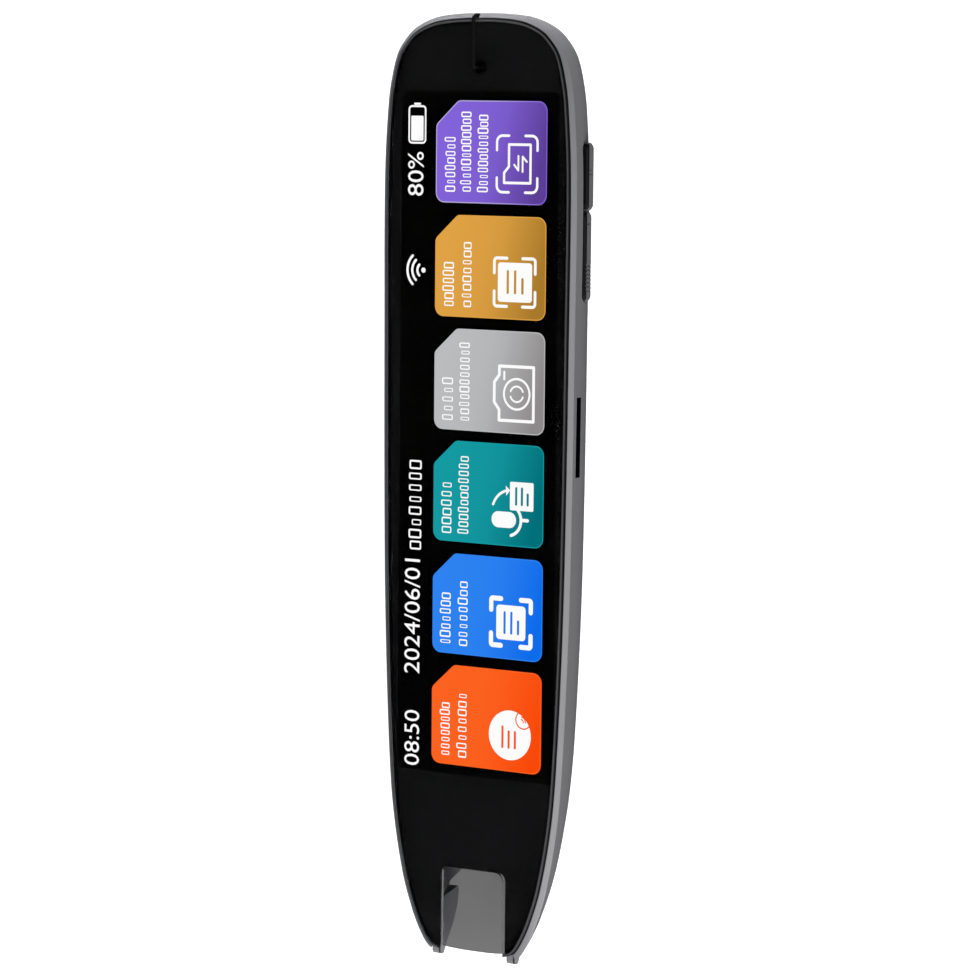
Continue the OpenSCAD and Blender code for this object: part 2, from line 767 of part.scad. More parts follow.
module power_button() {
    y0 = power_y1 - power_l;
    color([0.26, 0.26, 0.27])
    difference() {
        side_key(y0, power_y1, power_proud, y0, power_y1 + flange_over - key_gap);
        for (i = [-1, 1])
            span(
                [out_hw + power_proud - 0.12, power_y + 0.7 + i * 0.35 - 0.1, key_z - 0.5],
                [out_hw + 1, power_y + 0.7 + i * 0.35 + 0.1, key_z + 0.5]
            );
    }
}

module function_button() {
    y0 = func_y1 - func_l;
    pitch = 0.66;
    color([0.26, 0.26, 0.27])
    difference() {
        side_key(y0, func_y1, func_proud, y0 - flange_over + key_gap, func_y1);
        for (i = [0:rib_n - 1])
            span(
                [out_hw + func_proud - 0.15, func_y - 3.4 + (i - (rib_n - 1) / 2) * pitch - 0.16, key_z - key_h / 2],
                [out_hw + 1, func_y - 3.4 + (i - (rib_n - 1) / 2) * pitch + 0.16, key_z + key_h / 2]
            );
        bar_x(func_y1 - 1.9, key_z, out_hw - 0.6, out_hw + 1, 0.3);
    }
}

module speaker() {
    z1 = zd(chassis_d);
    color([0.12, 0.12, 0.13])
    difference() {
        span([speaker_x[0], speaker_y0, z1 - speaker_h], [speaker_x[1], speaker_y1, z1]);
        bar_z(1, slot_y, z1 - 0.9, z1 + cut, 5.8);
        span([6, slot_y - 4.5, z1 - 0.9], [speaker_x[1] + cut, slot_y + 4.5, z1 + cut]);
    }
    color([0.3, 0.3, 0.32])
        bar_z(1, slot_y, z1 - 1, z1 - 0.5, 4.6);
}

module speaker_mesh() {
    holes = 12;
    pitch = (slot_l - 0.6) / holes;
    color([0.1, 0.1, 0.1])
    difference() {
        span([mesh_x - mesh_t, slot_y - mesh_l / 2 + 0.1, slot_z - 1.05], [mesh_x, slot_y + mesh_l / 2 - 0.1, slot_z + 0.8]);
        for (i = [0:holes - 1])
            for (k = [-1, 1])
                bar_x(
                    slot_y + (i - (holes - 1) / 2) * pitch + k * pitch / 4, slot_z + k * 0.3,
                    mesh_x - 1, mesh_x + 1, 0.2
                );
    }
}

module microphone() {
    color([0.8, 0.75, 0.5])
        span([mic_x - mic_w / 2, board_y1 - 2.2, zd(board_d)], [mic_x + mic_w / 2, board_y1 - 0.2, zd(board_d - 1)]);
}

module battery() {
    color([0.75, 0.77, 0.8])
    translate([0, battery_y1, 0])
        rotate([90, 0, 0])
            linear_extrude(battery_l) {
                r = 1.3;
                w = battery_w;
                translate([-w / 2, zd(battery_d + battery_t) + r]) square([w, battery_t - 2 * r]);
                translate([-w / 2 + r, zd(battery_d + battery_t)]) square([w - 2 * r, battery_t]);
                for (x = [-w / 2 + r, w / 2 - r])
                    for (z = [zd(battery_d) - r, zd(battery_d + battery_t) + r])
                        translate([x, z]) circle(r);
            }
}

module battery_pad() {
    color([0.2, 0.2, 0.2])
        span([-pad_hw, battery_y1 - 1 - pad_l, floor_t], [pad_hw, battery_y1 - 1, zd(battery_d + battery_t)]);
}

module cell_board() {
    color([0.05, 0.25, 0.12])
        span([wire_x[0] - 0.6, battery_y1, wire_z - 0.9], [5, battery_y1 + 1.7, wire_z + 0.7]);
}

module battery_lead() {
    for (i = [0, 1])
        color(i == 0 ? [0.7, 0.05, 0.05] : [0.05, 0.05, 0.05])
            bar_y(wire_x[i], wire_z, battery_y1 + 1.7, board_y0 + 0.1, 0.4);
}

module battery_plug() {
    color([0.9, 0.88, 0.8])
        span([wire_x[0] - 0.8, board_y0 + 0.1, zd(board_d)], [wire_x[1] + 0.8, board_y0 + 3, wire_z + 0.9]);
}

// ---- Scanning tip ----
module tip_window() {
    color([0.35, 0.35, 0.36, 0.6])
    translate([0, 0, zd(shelf_d + window_t)])
        linear_extrude(window_t)
            intersection() {
                polygon(moved(-bezel_gap - bezel_w));
                translate([-chan_hw + 0.1, tip_y]) square([2 * chan_hw - 0.2, notch_l + 1]);
            }
}

module scan_shoe() {
    color([0.62, 0.62, 0.63]) {
        for (s = [-1, 1]) {
            a = s * (chan_hw + shoe_gap);
            b = s * (slot_out - shoe_gap);
            c = s * (chan_hw + inner_wall + shoe_gap);
            e = s * wing_x[1];
            tip_prism(CHEEK, min(a, b), max(a, b));
            span([min(b, c), yv(8), zd(arm_d[1])], [max(b, c), yv(bar_v[1]), zd(arm_d[0])]);
            span([min(b, e), yv(bar_v[0]), zd(5.5)], [max(b, e), yv(bar_v[1]), zd(arm_d[0])]);
            bar_y(
                s * spring_x, spring_z, yv(bar_v[1]) - 0.2, yv(bar_v[1]) + 1.2,
                spring_d / 2 - wire_d - 0.15
            );
        }
        span([-wing_x[1], yv(bar_v[0]), zd(arm_d[1])], [wing_x[1], yv(bar_v[1]), zd(arm_d[0])]);
    }
}

// Compression spring along Y with closed flat ends
module coil(x, z, y0, y1) {
    turns = 5;
    sides = 6;
    per_turn = 12;
    r = (spring_d - wire_d) / 2;
    rise = y1 - y0 - wire_d;
    count = turns * per_turn;
    points = [
        for (i = [0:count]) for (k = [0:sides - 1])
            let (
                t = i / count, a = 360 * turns * t, b = 360 * k / sides,
                reach = r + wire_d / 2 * cos(b)
            )
            [x + reach * cos(a), y0 + wire_d / 2 + rise * t + wire_d / 2 * sin(b), z + reach * sin(a)]
    ];
    polyhedron(
        points = points,
        faces = concat(
            [[for (k = [0:sides - 1]) k]],
            [for (i = [0:count - 1]) for (k = [0:sides - 1])
                [i * sides + k, (i + 1) * sides + k, (i + 1) * sides + (k + 1) % sides, i * sides + (k + 1) % sides]],
            [[for (k = [sides - 1:-1:0]) count * sides + k]]
        )
    );
}

module shoe_springs() {
    color([0.75, 0.75, 0.77])
        for (s = [-1, 1])
            coil(s * spring_x, spring_z, yv(bar_v[1]), yv(lug_v));
}

module tip_switch() {
    z = (zd(arm_d[0]) + zd(arm_d[1])) / 2;
    color([0.15, 0.15, 0.16])
    difference() {
        span([-1.8, yv(lug_v) - switch_l, zd(arm_d[1])], [1.8, yv(lug_v), zd(arm_d[0])]);
        bar_y(0, z, yv(lug_v) - switch_l - cut, yv(lug_v) - 0.2, 0.41);
    }
}

module tip_plunger() {
    z = (zd(arm_d[0]) + zd(arm_d[1])) / 2;
    color([0.85, 0.85, 0.82])
        bar_y(0, z, yv(bar_v[1]), yv(lug_v) - switch_l + 0.9, 0.35);
}

camera_hw = 4;
module camera_module() {
    color([0.1, 0.1, 0.11])
        span([-camera_hw, yv(camera_v[0]), zd(camera_d)], [camera_hw, yv(camera_v[1]), zd(chassis_d)]);
}

module lens_barrel() {
    color([0.08, 0.08, 0.09])
    difference() {
        bar_y(0, lens_z, yv(barrel_v), yv(camera_v[0]), lens_d / 2);
        bar_y(0, lens_z, yv(barrel_v) - cut, yv(barrel_v) + 1, lens_d / 2 - 0.6);
    }
}

module camera_board() {
    color([0.05, 0.25, 0.12])
        span([-camera_hw - 1.5, yv(camera_v[1]), zd(camera_d)], [camera_hw + 1.5, yv(camera_v[1]) + camera_board_t, zd(chassis_d)]);
}

module lamp_board() {
    color([0.9, 0.9, 0.88])
    difference() {
        span([-lamp_x - 1.8, yv(nose_v), zd(bay_d)], [lamp_x + 1.8, yv(nose_v) + lamp_board_t, zd(arm_d[0] + 0.15)]);
        bar_y(0, lens_z, yv(nose_v) - cut, yv(nose_v) + 2, lens_d / 2 + lens_gap);
    }
}

module lamps() {
    color([0.95, 0.9, 0.6])
        for (s = [-1, 1])
            bar_y(s * lamp_x, lamp_z, yv(nose_v) - 1, yv(nose_v), 0.9);
}

// ---- Lanyard ----
module lanyard_bush() {
    color([0.2, 0.2, 0.21])
    difference() {
        bar_z(0, hole_y, cord_d + 0.3, zd(shelf_d), bush_d / 2);
        bar_z(0, hole_y, -cut, body_t, lanyard_d / 2);
    }
}

// Cord route as [y, z]: up through the hole, over the front, down the end and back along the groove
function cord_route() = concat(
    [
        [hole_y, 1.6], [hole_y, 4], [hole_y, 7], [hole_y, body_t - 1], [hole_y + 0.15, body_t + 0.1],
        [hole_y + 0.75, body_t + 0.42], [hole_y + 2, body_t + 0.42], [hole_y + 4.5, body_t + 0.42],
        [top_y - 1, body_t + 0.42], [top_y - 0.3, body_t + 0.4], [top_y + 0.13, body_t + 0.3],
        [end_reach - cord_in - 0.03, body_t - 0.1], [end_reach - cord_in, body_t - 0.8]
    ],
    [for (a = [0, 12, 24, 36, 48, 60, 70, 78]) end_line(a, cord_in)],
    [[hole_y + 1.2, cord_in + 0.13], [hole_y + 0.42, cord_in + 0.36]]
);
module lanyard_loop() {
    route = cord_route();
    n = len(route);
    sides = 8;
    rings = [
        for (i = [0:n - 1])
            let (
                d = wrap(route, i + 1) - wrap(route, i - 1), u = d / norm(d)
            )
            [for (k = [0:sides - 1])
                let (a = 360 * k / sides)
                [
                    cord_d / 2 * cos(a) - cord_lean, route[i][0] - cord_d / 2 * sin(a) * u[1],
                    route[i][1] + cord_d / 2 * sin(a) * u[0]
                ]]
    ];
    color([0.05, 0.05, 0.05])
        polyhedron(
            points = [for (r = rings) for (p = r) p],
            faces = [for (i = [0:n - 1]) for (k = [0:sides - 1])
                [i * sides + k, i * sides + (k + 1) % sides,
                    ((i + 1) % n) * sides + (k + 1) % sides, ((i + 1) % n) * sides + k]]
        );
}

rear_housing();
front_bezel();
cover_glass();
glass_adhesive();
touch_sensor();
display_panel();
backlight_tray();
display_flex();
chassis();
chassis_screws();
main_board();
board_screws();
processor_shield();
radio_shield();
memory_chips();
charging_port();
key_board();
power_switch();
function_switch();
power_plunger();
function_plunger();
power_button();
function_button();
speaker();
speaker_mesh();
microphone();
battery();
battery_pad();
cell_board();
battery_lead();
battery_plug();
tip_window();
scan_shoe();
shoe_springs();
tip_switch();
tip_plunger();
camera_module();
lens_barrel();
camera_board();
lamp_board();
lamps();
lanyard_bush();
lanyard_loop();
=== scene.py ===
"""Dressed model of a handheld scanning translator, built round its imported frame."""
import json
import math
from contextlib import contextmanager

import bmesh
import bpy
from mathutils import Matrix, Vector


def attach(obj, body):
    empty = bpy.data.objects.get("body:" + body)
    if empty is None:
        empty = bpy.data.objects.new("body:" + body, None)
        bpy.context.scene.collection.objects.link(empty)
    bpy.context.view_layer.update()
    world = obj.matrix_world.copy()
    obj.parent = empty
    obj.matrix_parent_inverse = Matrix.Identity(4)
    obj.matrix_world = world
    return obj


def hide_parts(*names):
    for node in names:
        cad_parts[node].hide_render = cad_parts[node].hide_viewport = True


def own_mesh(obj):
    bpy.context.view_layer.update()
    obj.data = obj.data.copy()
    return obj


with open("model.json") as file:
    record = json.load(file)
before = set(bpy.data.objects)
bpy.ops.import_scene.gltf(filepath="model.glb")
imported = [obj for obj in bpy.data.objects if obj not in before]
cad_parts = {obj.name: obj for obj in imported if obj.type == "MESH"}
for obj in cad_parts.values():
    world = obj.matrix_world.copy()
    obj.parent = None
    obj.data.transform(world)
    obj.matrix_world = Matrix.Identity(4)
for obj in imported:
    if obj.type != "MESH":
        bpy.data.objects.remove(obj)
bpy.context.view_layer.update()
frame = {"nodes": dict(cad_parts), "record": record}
MM = 0.001

# ---- Sizes of the object, in millimetres ----
# HW half width, H height, T thickness, R radius, D depth below the glass, V distance from the tip,
# L length, W width; X, Y and Z are places in the frame
BODY_T = 10.4
LIP_HALF = 75.9
LIP_HW = 17.7
RIM_DROP = 0.4  # rim below the glass
BAND_W, BAND_H = 0.85, 0.6  # slanted band outside the lip
WALL_TOP = RIM_DROP + BAND_H + 1.7  # depth at which the rounded back starts
OUT_HW = LIP_HW + BAND_W
BACK_ROUND, END_ROUND = 9.0, 8.0
SWEEP_L, SWEEP_N = 54.0, 2.15  # sweep of the back up to the tip: length, power
FLOOR_T, LEDGE_W, BEZEL_H = 1.3, 1.0, 1.6
BEZEL_GAP, BEZEL_W, SHELF_D = 0.1, 0.45, 1.0
GLASS_T = 0.9
GLASS_IN = BEZEL_GAP + BEZEL_W + 0.03
CHAN_HW, CHAN_V, NOTCH_V, NOTCH_R = 6.3, 13.95, 14.15, 1.5
NOSE_V, BAY_V, SPLIT_V, SLOT_OUT = 21.35, 29.9, 9.3, 8.22
HOLE_Y, HOLE_R = 68.14, 1.05
CORD_HW, CORD_LEAN, CORD_IN = 0.47, 0.5, 0.43
KEY_Z, POCKET = 6.4, (31.05, 56.5)
PORT_Y, SLOT_Y = 46.1, 9.6
DISPLAY = (-15.05, 15.15, -46.5, 64.3)  # left, right, tip end, lanyard end
WELL, WELL_D = (-15.3, -46.7, 15.3, 64.5), (2.4, 1.3)
BUSH_R, SHELF_R = 1.72, 1.77
KEY_H, KEY_IN = 2.4, 15.4
PORT_Z, PORT_L, PORT_H, PORT_IN = 5.6, 9.24, 3.5, -14.55
SLOT_HALF, SLOT_Z = 6.4, (7.3, 8.6)
LENS_R, LENS_D = 2.0, 5.2
LAMP_X, LAMP_R, LAMP_D = 4.6, 1.1, 4.9
MIC_X, MIC_R, MIC_D = 8.0, 0.4, 4
BAY_HW, BAY_D, ARM_D = 11.5, 6.2, 3.25
TOE_LINES, TOE_LINE_HALF = (-6.62, 7.9), 0.13
OVER, UNDER, ASIDE = 12, -1, 20  # clear of the body: above, below and beside it
FRONT = (5, OVER)  # heights that pass right through the front parts

# Front lip outline: distance from the end, then half width as a part of LIP_HW
TOP_SHAPE = [
    (0.06, 0.2), (0.45, 0.43), (1.15, 0.57), (2.3, 0.698), (3.55, 0.775), (5.6, 0.86),
    (9.1, 0.921), (13.4, 0.961), (25, 0.997),
]
TIP_SHAPE = [
    (101.4, 0.993), (74.4, 0.981), (54.4, 0.96), (33.4, 0.91), (22.7, 0.858), (12.4, 0.75),
    (6.4, 0.639), (2.9, 0.543), (1.05, 0.462), (0.35, 0.358), (0.05, 0.2),
]
# Rim from the glass to the side wall: distance out from the lip, then depth below the rim
RIM_PROFILE = (
    (0.0, 0.05), (0.02, 0.015), (0.06, 0.0), (0.11, 0.01), (0.16, 0.045), (0.35, 0.2), (0.58, 0.383),
    (0.76, 0.527), (0.81, 0.572), (0.84, 0.63), (0.85, 0.7),
)
WALL_DEPTHS = (1.35, 1.7, 2.2)
# Turns of the rounded back, in degrees from the wall, outside and then inside
OUTER_TURNS = (0, 6, 12, 18, 24, 30, 36, 42, 48, 54, 60, 66, 72, 77, 82, 86, 90)
INNER_TURNS = (90, 78, 67, 55, 42, 28, 14, 0)


def zd(depth):
    """Height above the rest face of a depth below the glass."""
    return BODY_T - depth


def yv(distance):
    """Lengthways place of a distance from the tip of the lip."""
    return -LIP_HALF + distance


# ---- Mesh helpers ----
def linked(name, data):
    """New object in the scene."""
    thing = bpy.data.objects.new(name, data)
    bpy.context.scene.collection.objects.link(thing)
    return thing


def dropped(thing):
    """Removes an object together with its mesh."""
    mesh = thing.data
    bpy.data.objects.remove(thing)
    bpy.data.meshes.remove(mesh)


@contextmanager
def editing(mesh):
    """Opens a mesh for edits and writes them back."""
    bm = bmesh.new()
    bm.from_mesh(mesh)
    yield bm
    bm.to_mesh(mesh)
    bm.free()


def mesh_object(name, verts, faces):
    """Closed mesh from points in millimetres, with its faces turned outwards."""
    mesh = bpy.data.meshes.new(name)
    mesh.from_pydata([Vector(v) * MM for v in verts], [], faces)
    with editing(mesh) as bm:
        bmesh.ops.recalc_face_normals(bm, faces=bm.faces)
    return linked(name, mesh)


def evaluated_mesh(thing):
    """Mesh of a piece as its modifiers or its curve make it."""
    graph = bpy.context.evaluated_depsgraph_get()
    graph.update()
    return bpy.data.meshes.new_from_object(thing.evaluated_get(graph))


def applied(thing):
    """Turns the live modifiers of a piece into its mesh."""
    mesh = evaluated_mesh(thing)
    old = thing.data
    thing.modifiers.clear()
    thing.data = mesh
    if old.users == 0:
        bpy.data.meshes.remove(old)


def smooth_by_angle(thing, degrees):
    """Smooth shading, sharp where faces meet at more than an angle."""
    limit = math.radians(degrees)
    with editing(thing.data) as bm:
        for face in bm.faces:
            face.smooth = True
        for edge in bm.edges:
            edge.smooth = len(edge.link_faces) == 2 and edge.calc_face_angle(0) < limit


def shaded(thing, degrees):
    """Smooth shading by angle, in which the large faces set the normals."""
    smooth_by_angle(thing, degrees)
    mod = thing.modifiers.new("even", "WEIGHTED_NORMAL")
    mod.keep_sharp = True
    mod.weight = 80
    applied(thing)


def skin(name, rings, closed=False):
    """Skin through rings with equal counts: capped at both ends, or closed on itself."""
    count = len(rings[0])
    verts = [p for ring in rings for p in ring]
    starts = [k * count for k in range(len(rings))]
    faces = [] if closed else [list(range(count))]
    for a, b in zip(starts, starts[1:] + starts[:1] if closed else starts[1:]):
        faces += [(a + i, b + i, b + (i + 1) % count, a + (i + 1) % count) for i in range(count)]
    if not closed:
        faces.append([starts[-1] + i for i in range(count)])
    return mesh_object(name, verts, faces)


def walls(a, b, count):
    """Faces between two loops, whose points start at two places in the list."""
    return [(a + i, a + (i + 1) % count, b + (i + 1) % count, b + i) for i in range(count)]


def prism(name, loop, axis, low, high):
    """Prism of a flat loop, given in the two other axes in X, Y, Z order."""
    def place(p, h):
        return {"x": (h, p[0], p[1]), "y": (p[0], h, p[1]), "z": (p[0], p[1], h)}[axis]
    count = len(loop)
    verts = [place(p, low) for p in loop] + [place(p, high) for p in loop]
    faces = [list(range(count)), list(range(count, 2 * count))]
    return mesh_object(name, verts, faces + walls(0, count, count))


def circle(cx, cy, r, count):
    """Loop of points round a centre."""
    turns = [math.tau * k / count for k in range(count)]
    return [(cx + r * math.cos(t), cy + r * math.sin(t)) for t in turns]


def filleted(points, radii, steps=6):
    """Loop with each corner rounded by its radius."""
    loop = []
    count = len(points)
    for i in range(count):
        a, b, c = (Vector(points[(i + k) % count]) for k in (-1, 0, 1))
        r = radii[i] if isinstance(radii, list) else radii
        if r <= 0:
            loop.append(tuple(b))
            continue
        u, v = (a - b).normalized(), (c - b).normalized()
        half = u.angle(v) / 2
        centre = b + (u + v).normalized() * (r / math.sin(half))
        p, q = b + u * (r / math.tan(half)), b + v * (r / math.tan(half))
        a0 = math.atan2(p.y - centre.y, p.x - centre.x)
        turn = math.atan2(q.y - centre.y, q.x - centre.x) - a0
        turn = (turn + math.pi) % math.tau - math.pi
        for k in range(steps + 1):
            t = a0 + turn * k / steps
            loop.append((centre.x + r * math.cos(t), centre.y + r * math.sin(t)))
    return loop


def rect(x0, y0, x1, y1, r, steps=6):
    """Rectangle between two corners, rounded."""
    return filleted([(x0, y0), (x1, y0), (x1, y1), (x0, y1)], r, steps)


def inset(loop, inward):
    """Loop moved inward by a distance, point by point."""
    count = len(loop)
    after = loop[1:] + loop[:1]
    area = sum(a[0] * b[1] - b[0] * a[1] for a, b in zip(loop, after))
    side = 1 if area > 0 else -1
    out = []
    for i in range(count):
        d = (Vector(after[i]) - Vector(loop[i - 1])).normalized() * side
        out.append((loop[i][0] - d.y * inward, loop[i][1] + d.x * inward))
    return out


def united(thing, other):
    """One closed piece from two that overlap."""
    mod = thing.modifiers.new("unite", "BOOLEAN")
    mod.operation, mod.solver, mod.object = "UNION", "EXACT", other
    applied(thing)
    dropped(other)


def cut_with(thing, cutters):
    """Cuts a list of closed tools out of a piece."""
    tools = bpy.data.collections.new("tools")
    bpy.context.scene.collection.children.link(tools)
    for c in cutters:
        bpy.context.scene.collection.objects.unlink(c)
        tools.objects.link(c)
    mod = thing.modifiers.new("cut", "BOOLEAN")
    mod.operation, mod.solver = "DIFFERENCE", "EXACT"
    mod.operand_type, mod.collection = "COLLECTION", tools
    applied(thing)
    for c in cutters:
        dropped(c)
    bpy.data.collections.remove(tools)


def span(low, high):
    """Box between two corners, as a cutting tool."""
    return prism("tool", rect(low[0], low[1], high[0], high[1], 0), "z", low[2], high[2])


def bore(x, depth, r, count, y0, y1):
    """Round tool along the body at a depth below the glass."""
    return prism("tool", circle(x, zd(depth), r, count), "y", y0, y1)


def hole_tool(r, low, high):
    """Round tool through the lanyard hole."""
    return prism("tool", circle(0, HOLE_Y, r, 40), "z", low, high)


def bevelled(thing, width, degrees):
    """Eases the edges that are sharper than an angle."""
    mod = thing.modifiers.new("soften", "BEVEL")
    mod.width, mod.segments = width * MM, 2
    mod.limit_method, mod.angle_limit = "ANGLE", math.radians(degrees)
    mod.use_clamp_overlap = True
    applied(thing)


# ---- Materials ----
# Plastic and paint, in repeats for each metre: clouds in tone and gloss, spark texture
CLOUD, GLOSS_CLOUD, SPARK = 90.0, 240.0, 2600.0
SPARK_H = 0.00002


def linear(value):
    """One part of a colour from its written value."""
    value /= 255
    return value / 12.92 if value <= 0.04045 else ((value + 0.055) / 1.055) ** 2.4


def rgb(code):
    """Colour from a six-figure code as linear values."""
    return tuple(linear(int(code[i:i + 2], 16)) for i in (0, 2, 4)) + (1.0,)


class Nodes:
    """A node tree whose nodes are added with their settings and what their sockets take."""

    def __init__(self, tree):
        self.nodes, self.links = tree.nodes, tree.links

    def feed(self, socket, value):
        """Joins a socket to another one, or sets its plain value."""
        if isinstance(value, bpy.types.NodeSocket):
            self.links.new(value, socket)
        else:
            socket.default_value = value

    def add(self, kind, takes=None, **settings):
        node = self.nodes.new(kind)
        for key, value in settings.items():
            setattr(node, key, value)
        for key, value in (takes or {}).items():
            self.feed(node.inputs[key], value)
        return node

    def math(self, operation, *values):
        node = self.add("ShaderNodeMath", dict(enumerate(values)), operation=operation)
        return node.outputs[0]


class Finish(Nodes):
    """A material with its node tree and its main shader."""

    def __init__(self, name):
        self.material = bpy.data.materials.new(name)
        self.material.use_nodes = True
        super().__init__(self.material.node_tree)
        self.shader = self.nodes["Principled BSDF"]

    def set(self, **values):
        """Sets or joins sockets of the main shader, and gives the finished material."""
        for key, value in values.items():
            self.feed(self.shader.inputs[key.replace("_", " ")], value)
        return self.material

    def place(self, scale=(1, 1, 1), move=(0, 0, 0)):
        """Object coordinates, stretched along the axes and moved."""
        spot = self.add("ShaderNodeTexCoord").outputs["Object"]
        takes = {"Vector": spot, "Location": move, "Scale": scale}
        return self.add("ShaderNodeMapping", takes).outputs["Vector"]

    def noise(self, vector, scale, detail=3.0, rough=0.5):
        takes = {"Vector": vector, "Scale": scale, "Detail": detail, "Roughness": rough}
        return self.add("ShaderNodeTexNoise", takes).outputs["Fac"]

    def ramp(self, factor, stops):
        node = self.add("ShaderNodeValToRGB", {"Fac": factor})
        while len(node.color_ramp.elements) < len(stops):
            node.color_ramp.elements.new(0.5)
        for element, (place, colour) in zip(node.color_ramp.elements, stops):
            element.position, element.color = place, colour
        return node.outputs["Color"]

    def cloud(self, where, code, vary):
        """A colour with a slight cloud in its tone."""
        colour = rgb(code)
        stops = [(0.3, shade(colour, 1 - vary)), (0.7, shade(colour, 1 + vary))]
        return self.ramp(self.noise(where, CLOUD, 4.0, 0.6), stops)

    def spread(self, factor, low, high):
        takes = {"Value": factor, "To Min": low, "To Max": high}
        return self.add("ShaderNodeMapRange", takes).outputs["Result"]

    def along(self, vector, axis):
        """Place along one axis."""
        return self.add("ShaderNodeSeparateXYZ", {"Vector": vector}).outputs[axis]

    def run(self, place, low, high, kind="LINEAR"):
        """0 to 1 between two places in millimetres."""
        takes = {"Value": place, "From Min": low * MM, "From Max": high * MM}
        return self.add("ShaderNodeMapRange", takes, interpolation_type=kind).outputs["Result"]

    def mixed(self, factor, low, high):
        """Blend of two colours."""
        takes = {"Factor": factor, 6: low, 7: high}
        return self.add("ShaderNodeMix", takes, data_type="RGBA").outputs[2]

    def bump(self, height, strength, distance):
        takes = {"Height": height, "Strength": strength, "Distance": distance}
        return self.add("ShaderNodeBump", takes).outputs["Normal"]

    def plastic(self, where, tone, rough, gloss=0.5, grain=SPARK, relief=0.1):
        """Satin plastic or paint: its tone, a cloud in its gloss and a fine spark texture."""
        return self.set(
            Base_Color=tone, Specular_IOR_Level=gloss,
            Roughness=self.spread(self.noise(where, GLOSS_CLOUD), rough - 0.05, rough + 0.05),
            Normal=self.bump(self.noise(where, grain, 2.0), relief, SPARK_H),
        )


def shade(colour, factor):
    """Colour made darker or lighter."""
    return tuple(c * factor for c in colour[:3]) + (1.0,)


def moulded(name, code, rough=0.5, grain=SPARK, relief=0.12, gloss=0.5):
    """Moulded or painted plastic with a slight cloud in its tone."""
    f = Finish(name)
    where = f.place()
    return f.plastic(where, f.cloud(where, code, 0.07), rough, gloss, grain, relief)


def two_tone_with_painted_shade(name, code, under, low, high, rough, gloss):
    """Painted part with black painted shade: the tone turns to black between two heights."""
    f = Finish(name)
    where = f.place()
    # the black part is painted shade, not a second colour of the part
    turn = f.run(f.along(where, "Z"), low, high)
    return f.plastic(where, f.mixed(turn, rgb(under), f.cloud(where, code, 0.05)), rough, gloss)


def case_paint_with_painted_shade(name, front, back, low, high):
    """Satin paint whose tone turns darker round the side towards the back: painted shade where the rounded back
    turns from the light.
    """
    f = Finish(name)
    where = f.place()
    turn = f.run(f.along(where, "Z"), low, high, "SMOOTHSTEP")
    tone = f.mixed(turn, f.cloud(where, back, 0.04), f.cloud(where, front, 0.04))
    return f.plastic(where, tone, 0.42, 0.3)


def lined_with_groove_shade(name, code, line, places, reach):
    """Moulded plastic with two dark lines across its width: parting lines, darkened as painted shade in their
    grooves.
    """
    f = Finish(name)
    where = f.place()
    across = f.along(where, "X")
    near = f.math("MAXIMUM", *(f.math("COMPARE", across, place * MM, reach * MM) for place in places))
    return f.plastic(where, f.mixed(near, f.cloud(where, code, 0.05), rgb(line)), 0.38)


def metal(name, code, rough, stretch=(1, 1, 1), lines=900.0):
    """Stamped or cast metal with faint drawn lines."""
    f = Finish(name)
    colour = rgb(code)
    grain = f.noise(f.place(stretch), lines, 3.0, 0.6)
    return f.set(
        Base_Color=f.ramp(grain, [(0.3, shade(colour, 0.86)), (0.7, shade(colour, 1.1))]),
        Roughness=f.spread(grain, rough - 0.07, rough + 0.1), Normal=f.bump(grain, 0.1, 0.00001),
        Metallic=1.0,
    )


def circuit(name, code):
    """Solder mask with copper runs that show through as lighter lines."""
    f = Finish(name)
    colour = rgb(code)
    where = f.place()
    brick = f.add("ShaderNodeTexBrick", {
        "Vector": where, "Scale": 500.0, "Mortar Size": 0.03,
        "Color1": shade(colour, 0.8), "Color2": colour, "Mortar": shade(colour, 2.2),
    })
    return f.set(
        Base_Color=brick.outputs["Color"], Roughness=f.spread(f.noise(where, 400.0), 0.3, 0.5),
        Normal=f.bump(brick.outputs["Fac"], 0.2, 0.00003),
    )


def clear_glass(name):
    """Coated cover glass: clear, with a faint smear in its gloss."""
    f = Finish(name)
    where = f.place()
    return f.set(
        Base_Color=f.ramp(f.noise(where, 30.0), [(0.0, (0.97, 0.97, 0.97, 1)), (1.0, (1, 1, 1, 1))]),
        Roughness=f.spread(f.noise(where, 45.0, 4.0, 0.6), 0.0, 0.05),
        Transmission_Weight=1.0, IOR=1.1, Specular_IOR_Level=0.2,
    )


def smoked(name):
    """Smoke tinted window."""
    f = Finish(name)
    where = f.place()
    return f.set(
        Base_Color=f.ramp(f.noise(where, 60.0), [(0.0, rgb("B1B1B1")), (1.0, rgb("B7B7B7"))]),
        Roughness=f.spread(f.noise(where, 200.0), 0.02, 0.07), Transmission_Weight=1.0, IOR=1.15,
    )


# Run of a lit area's colour: place across it, then share of the left colour
GLOW = ((0.0, 1), (0.45, 0.86), (0.6, 0.72), (0.65, 0.6), (1.0, 0))


def lit(name, left, right, x0, x1, middle=0.0, sheen=0.0):
    """Lit area of the picture: a colour that runs across it, under a slanted sheen."""
    f = Finish(name)
    split = f.add("ShaderNodeSeparateXYZ", {"Vector": f.place(move=(0, -middle * MM, 0))}).outputs
    slant = f.math("MULTIPLY_ADD", split["Y"], -sheen, split["X"])
    a, b = rgb(left), rgb(right)
    stops = [(at, tuple(q + (p - q) * part for p, q in zip(a, b))) for at, part in GLOW]
    return f.set(
        Emission_Color=f.ramp(f.run(slant, x0, x1), stops), Emission_Strength=1.0,
        Base_Color=(0, 0, 0, 1), Roughness=0.6, Specular_IOR_Level=0.0,
    )


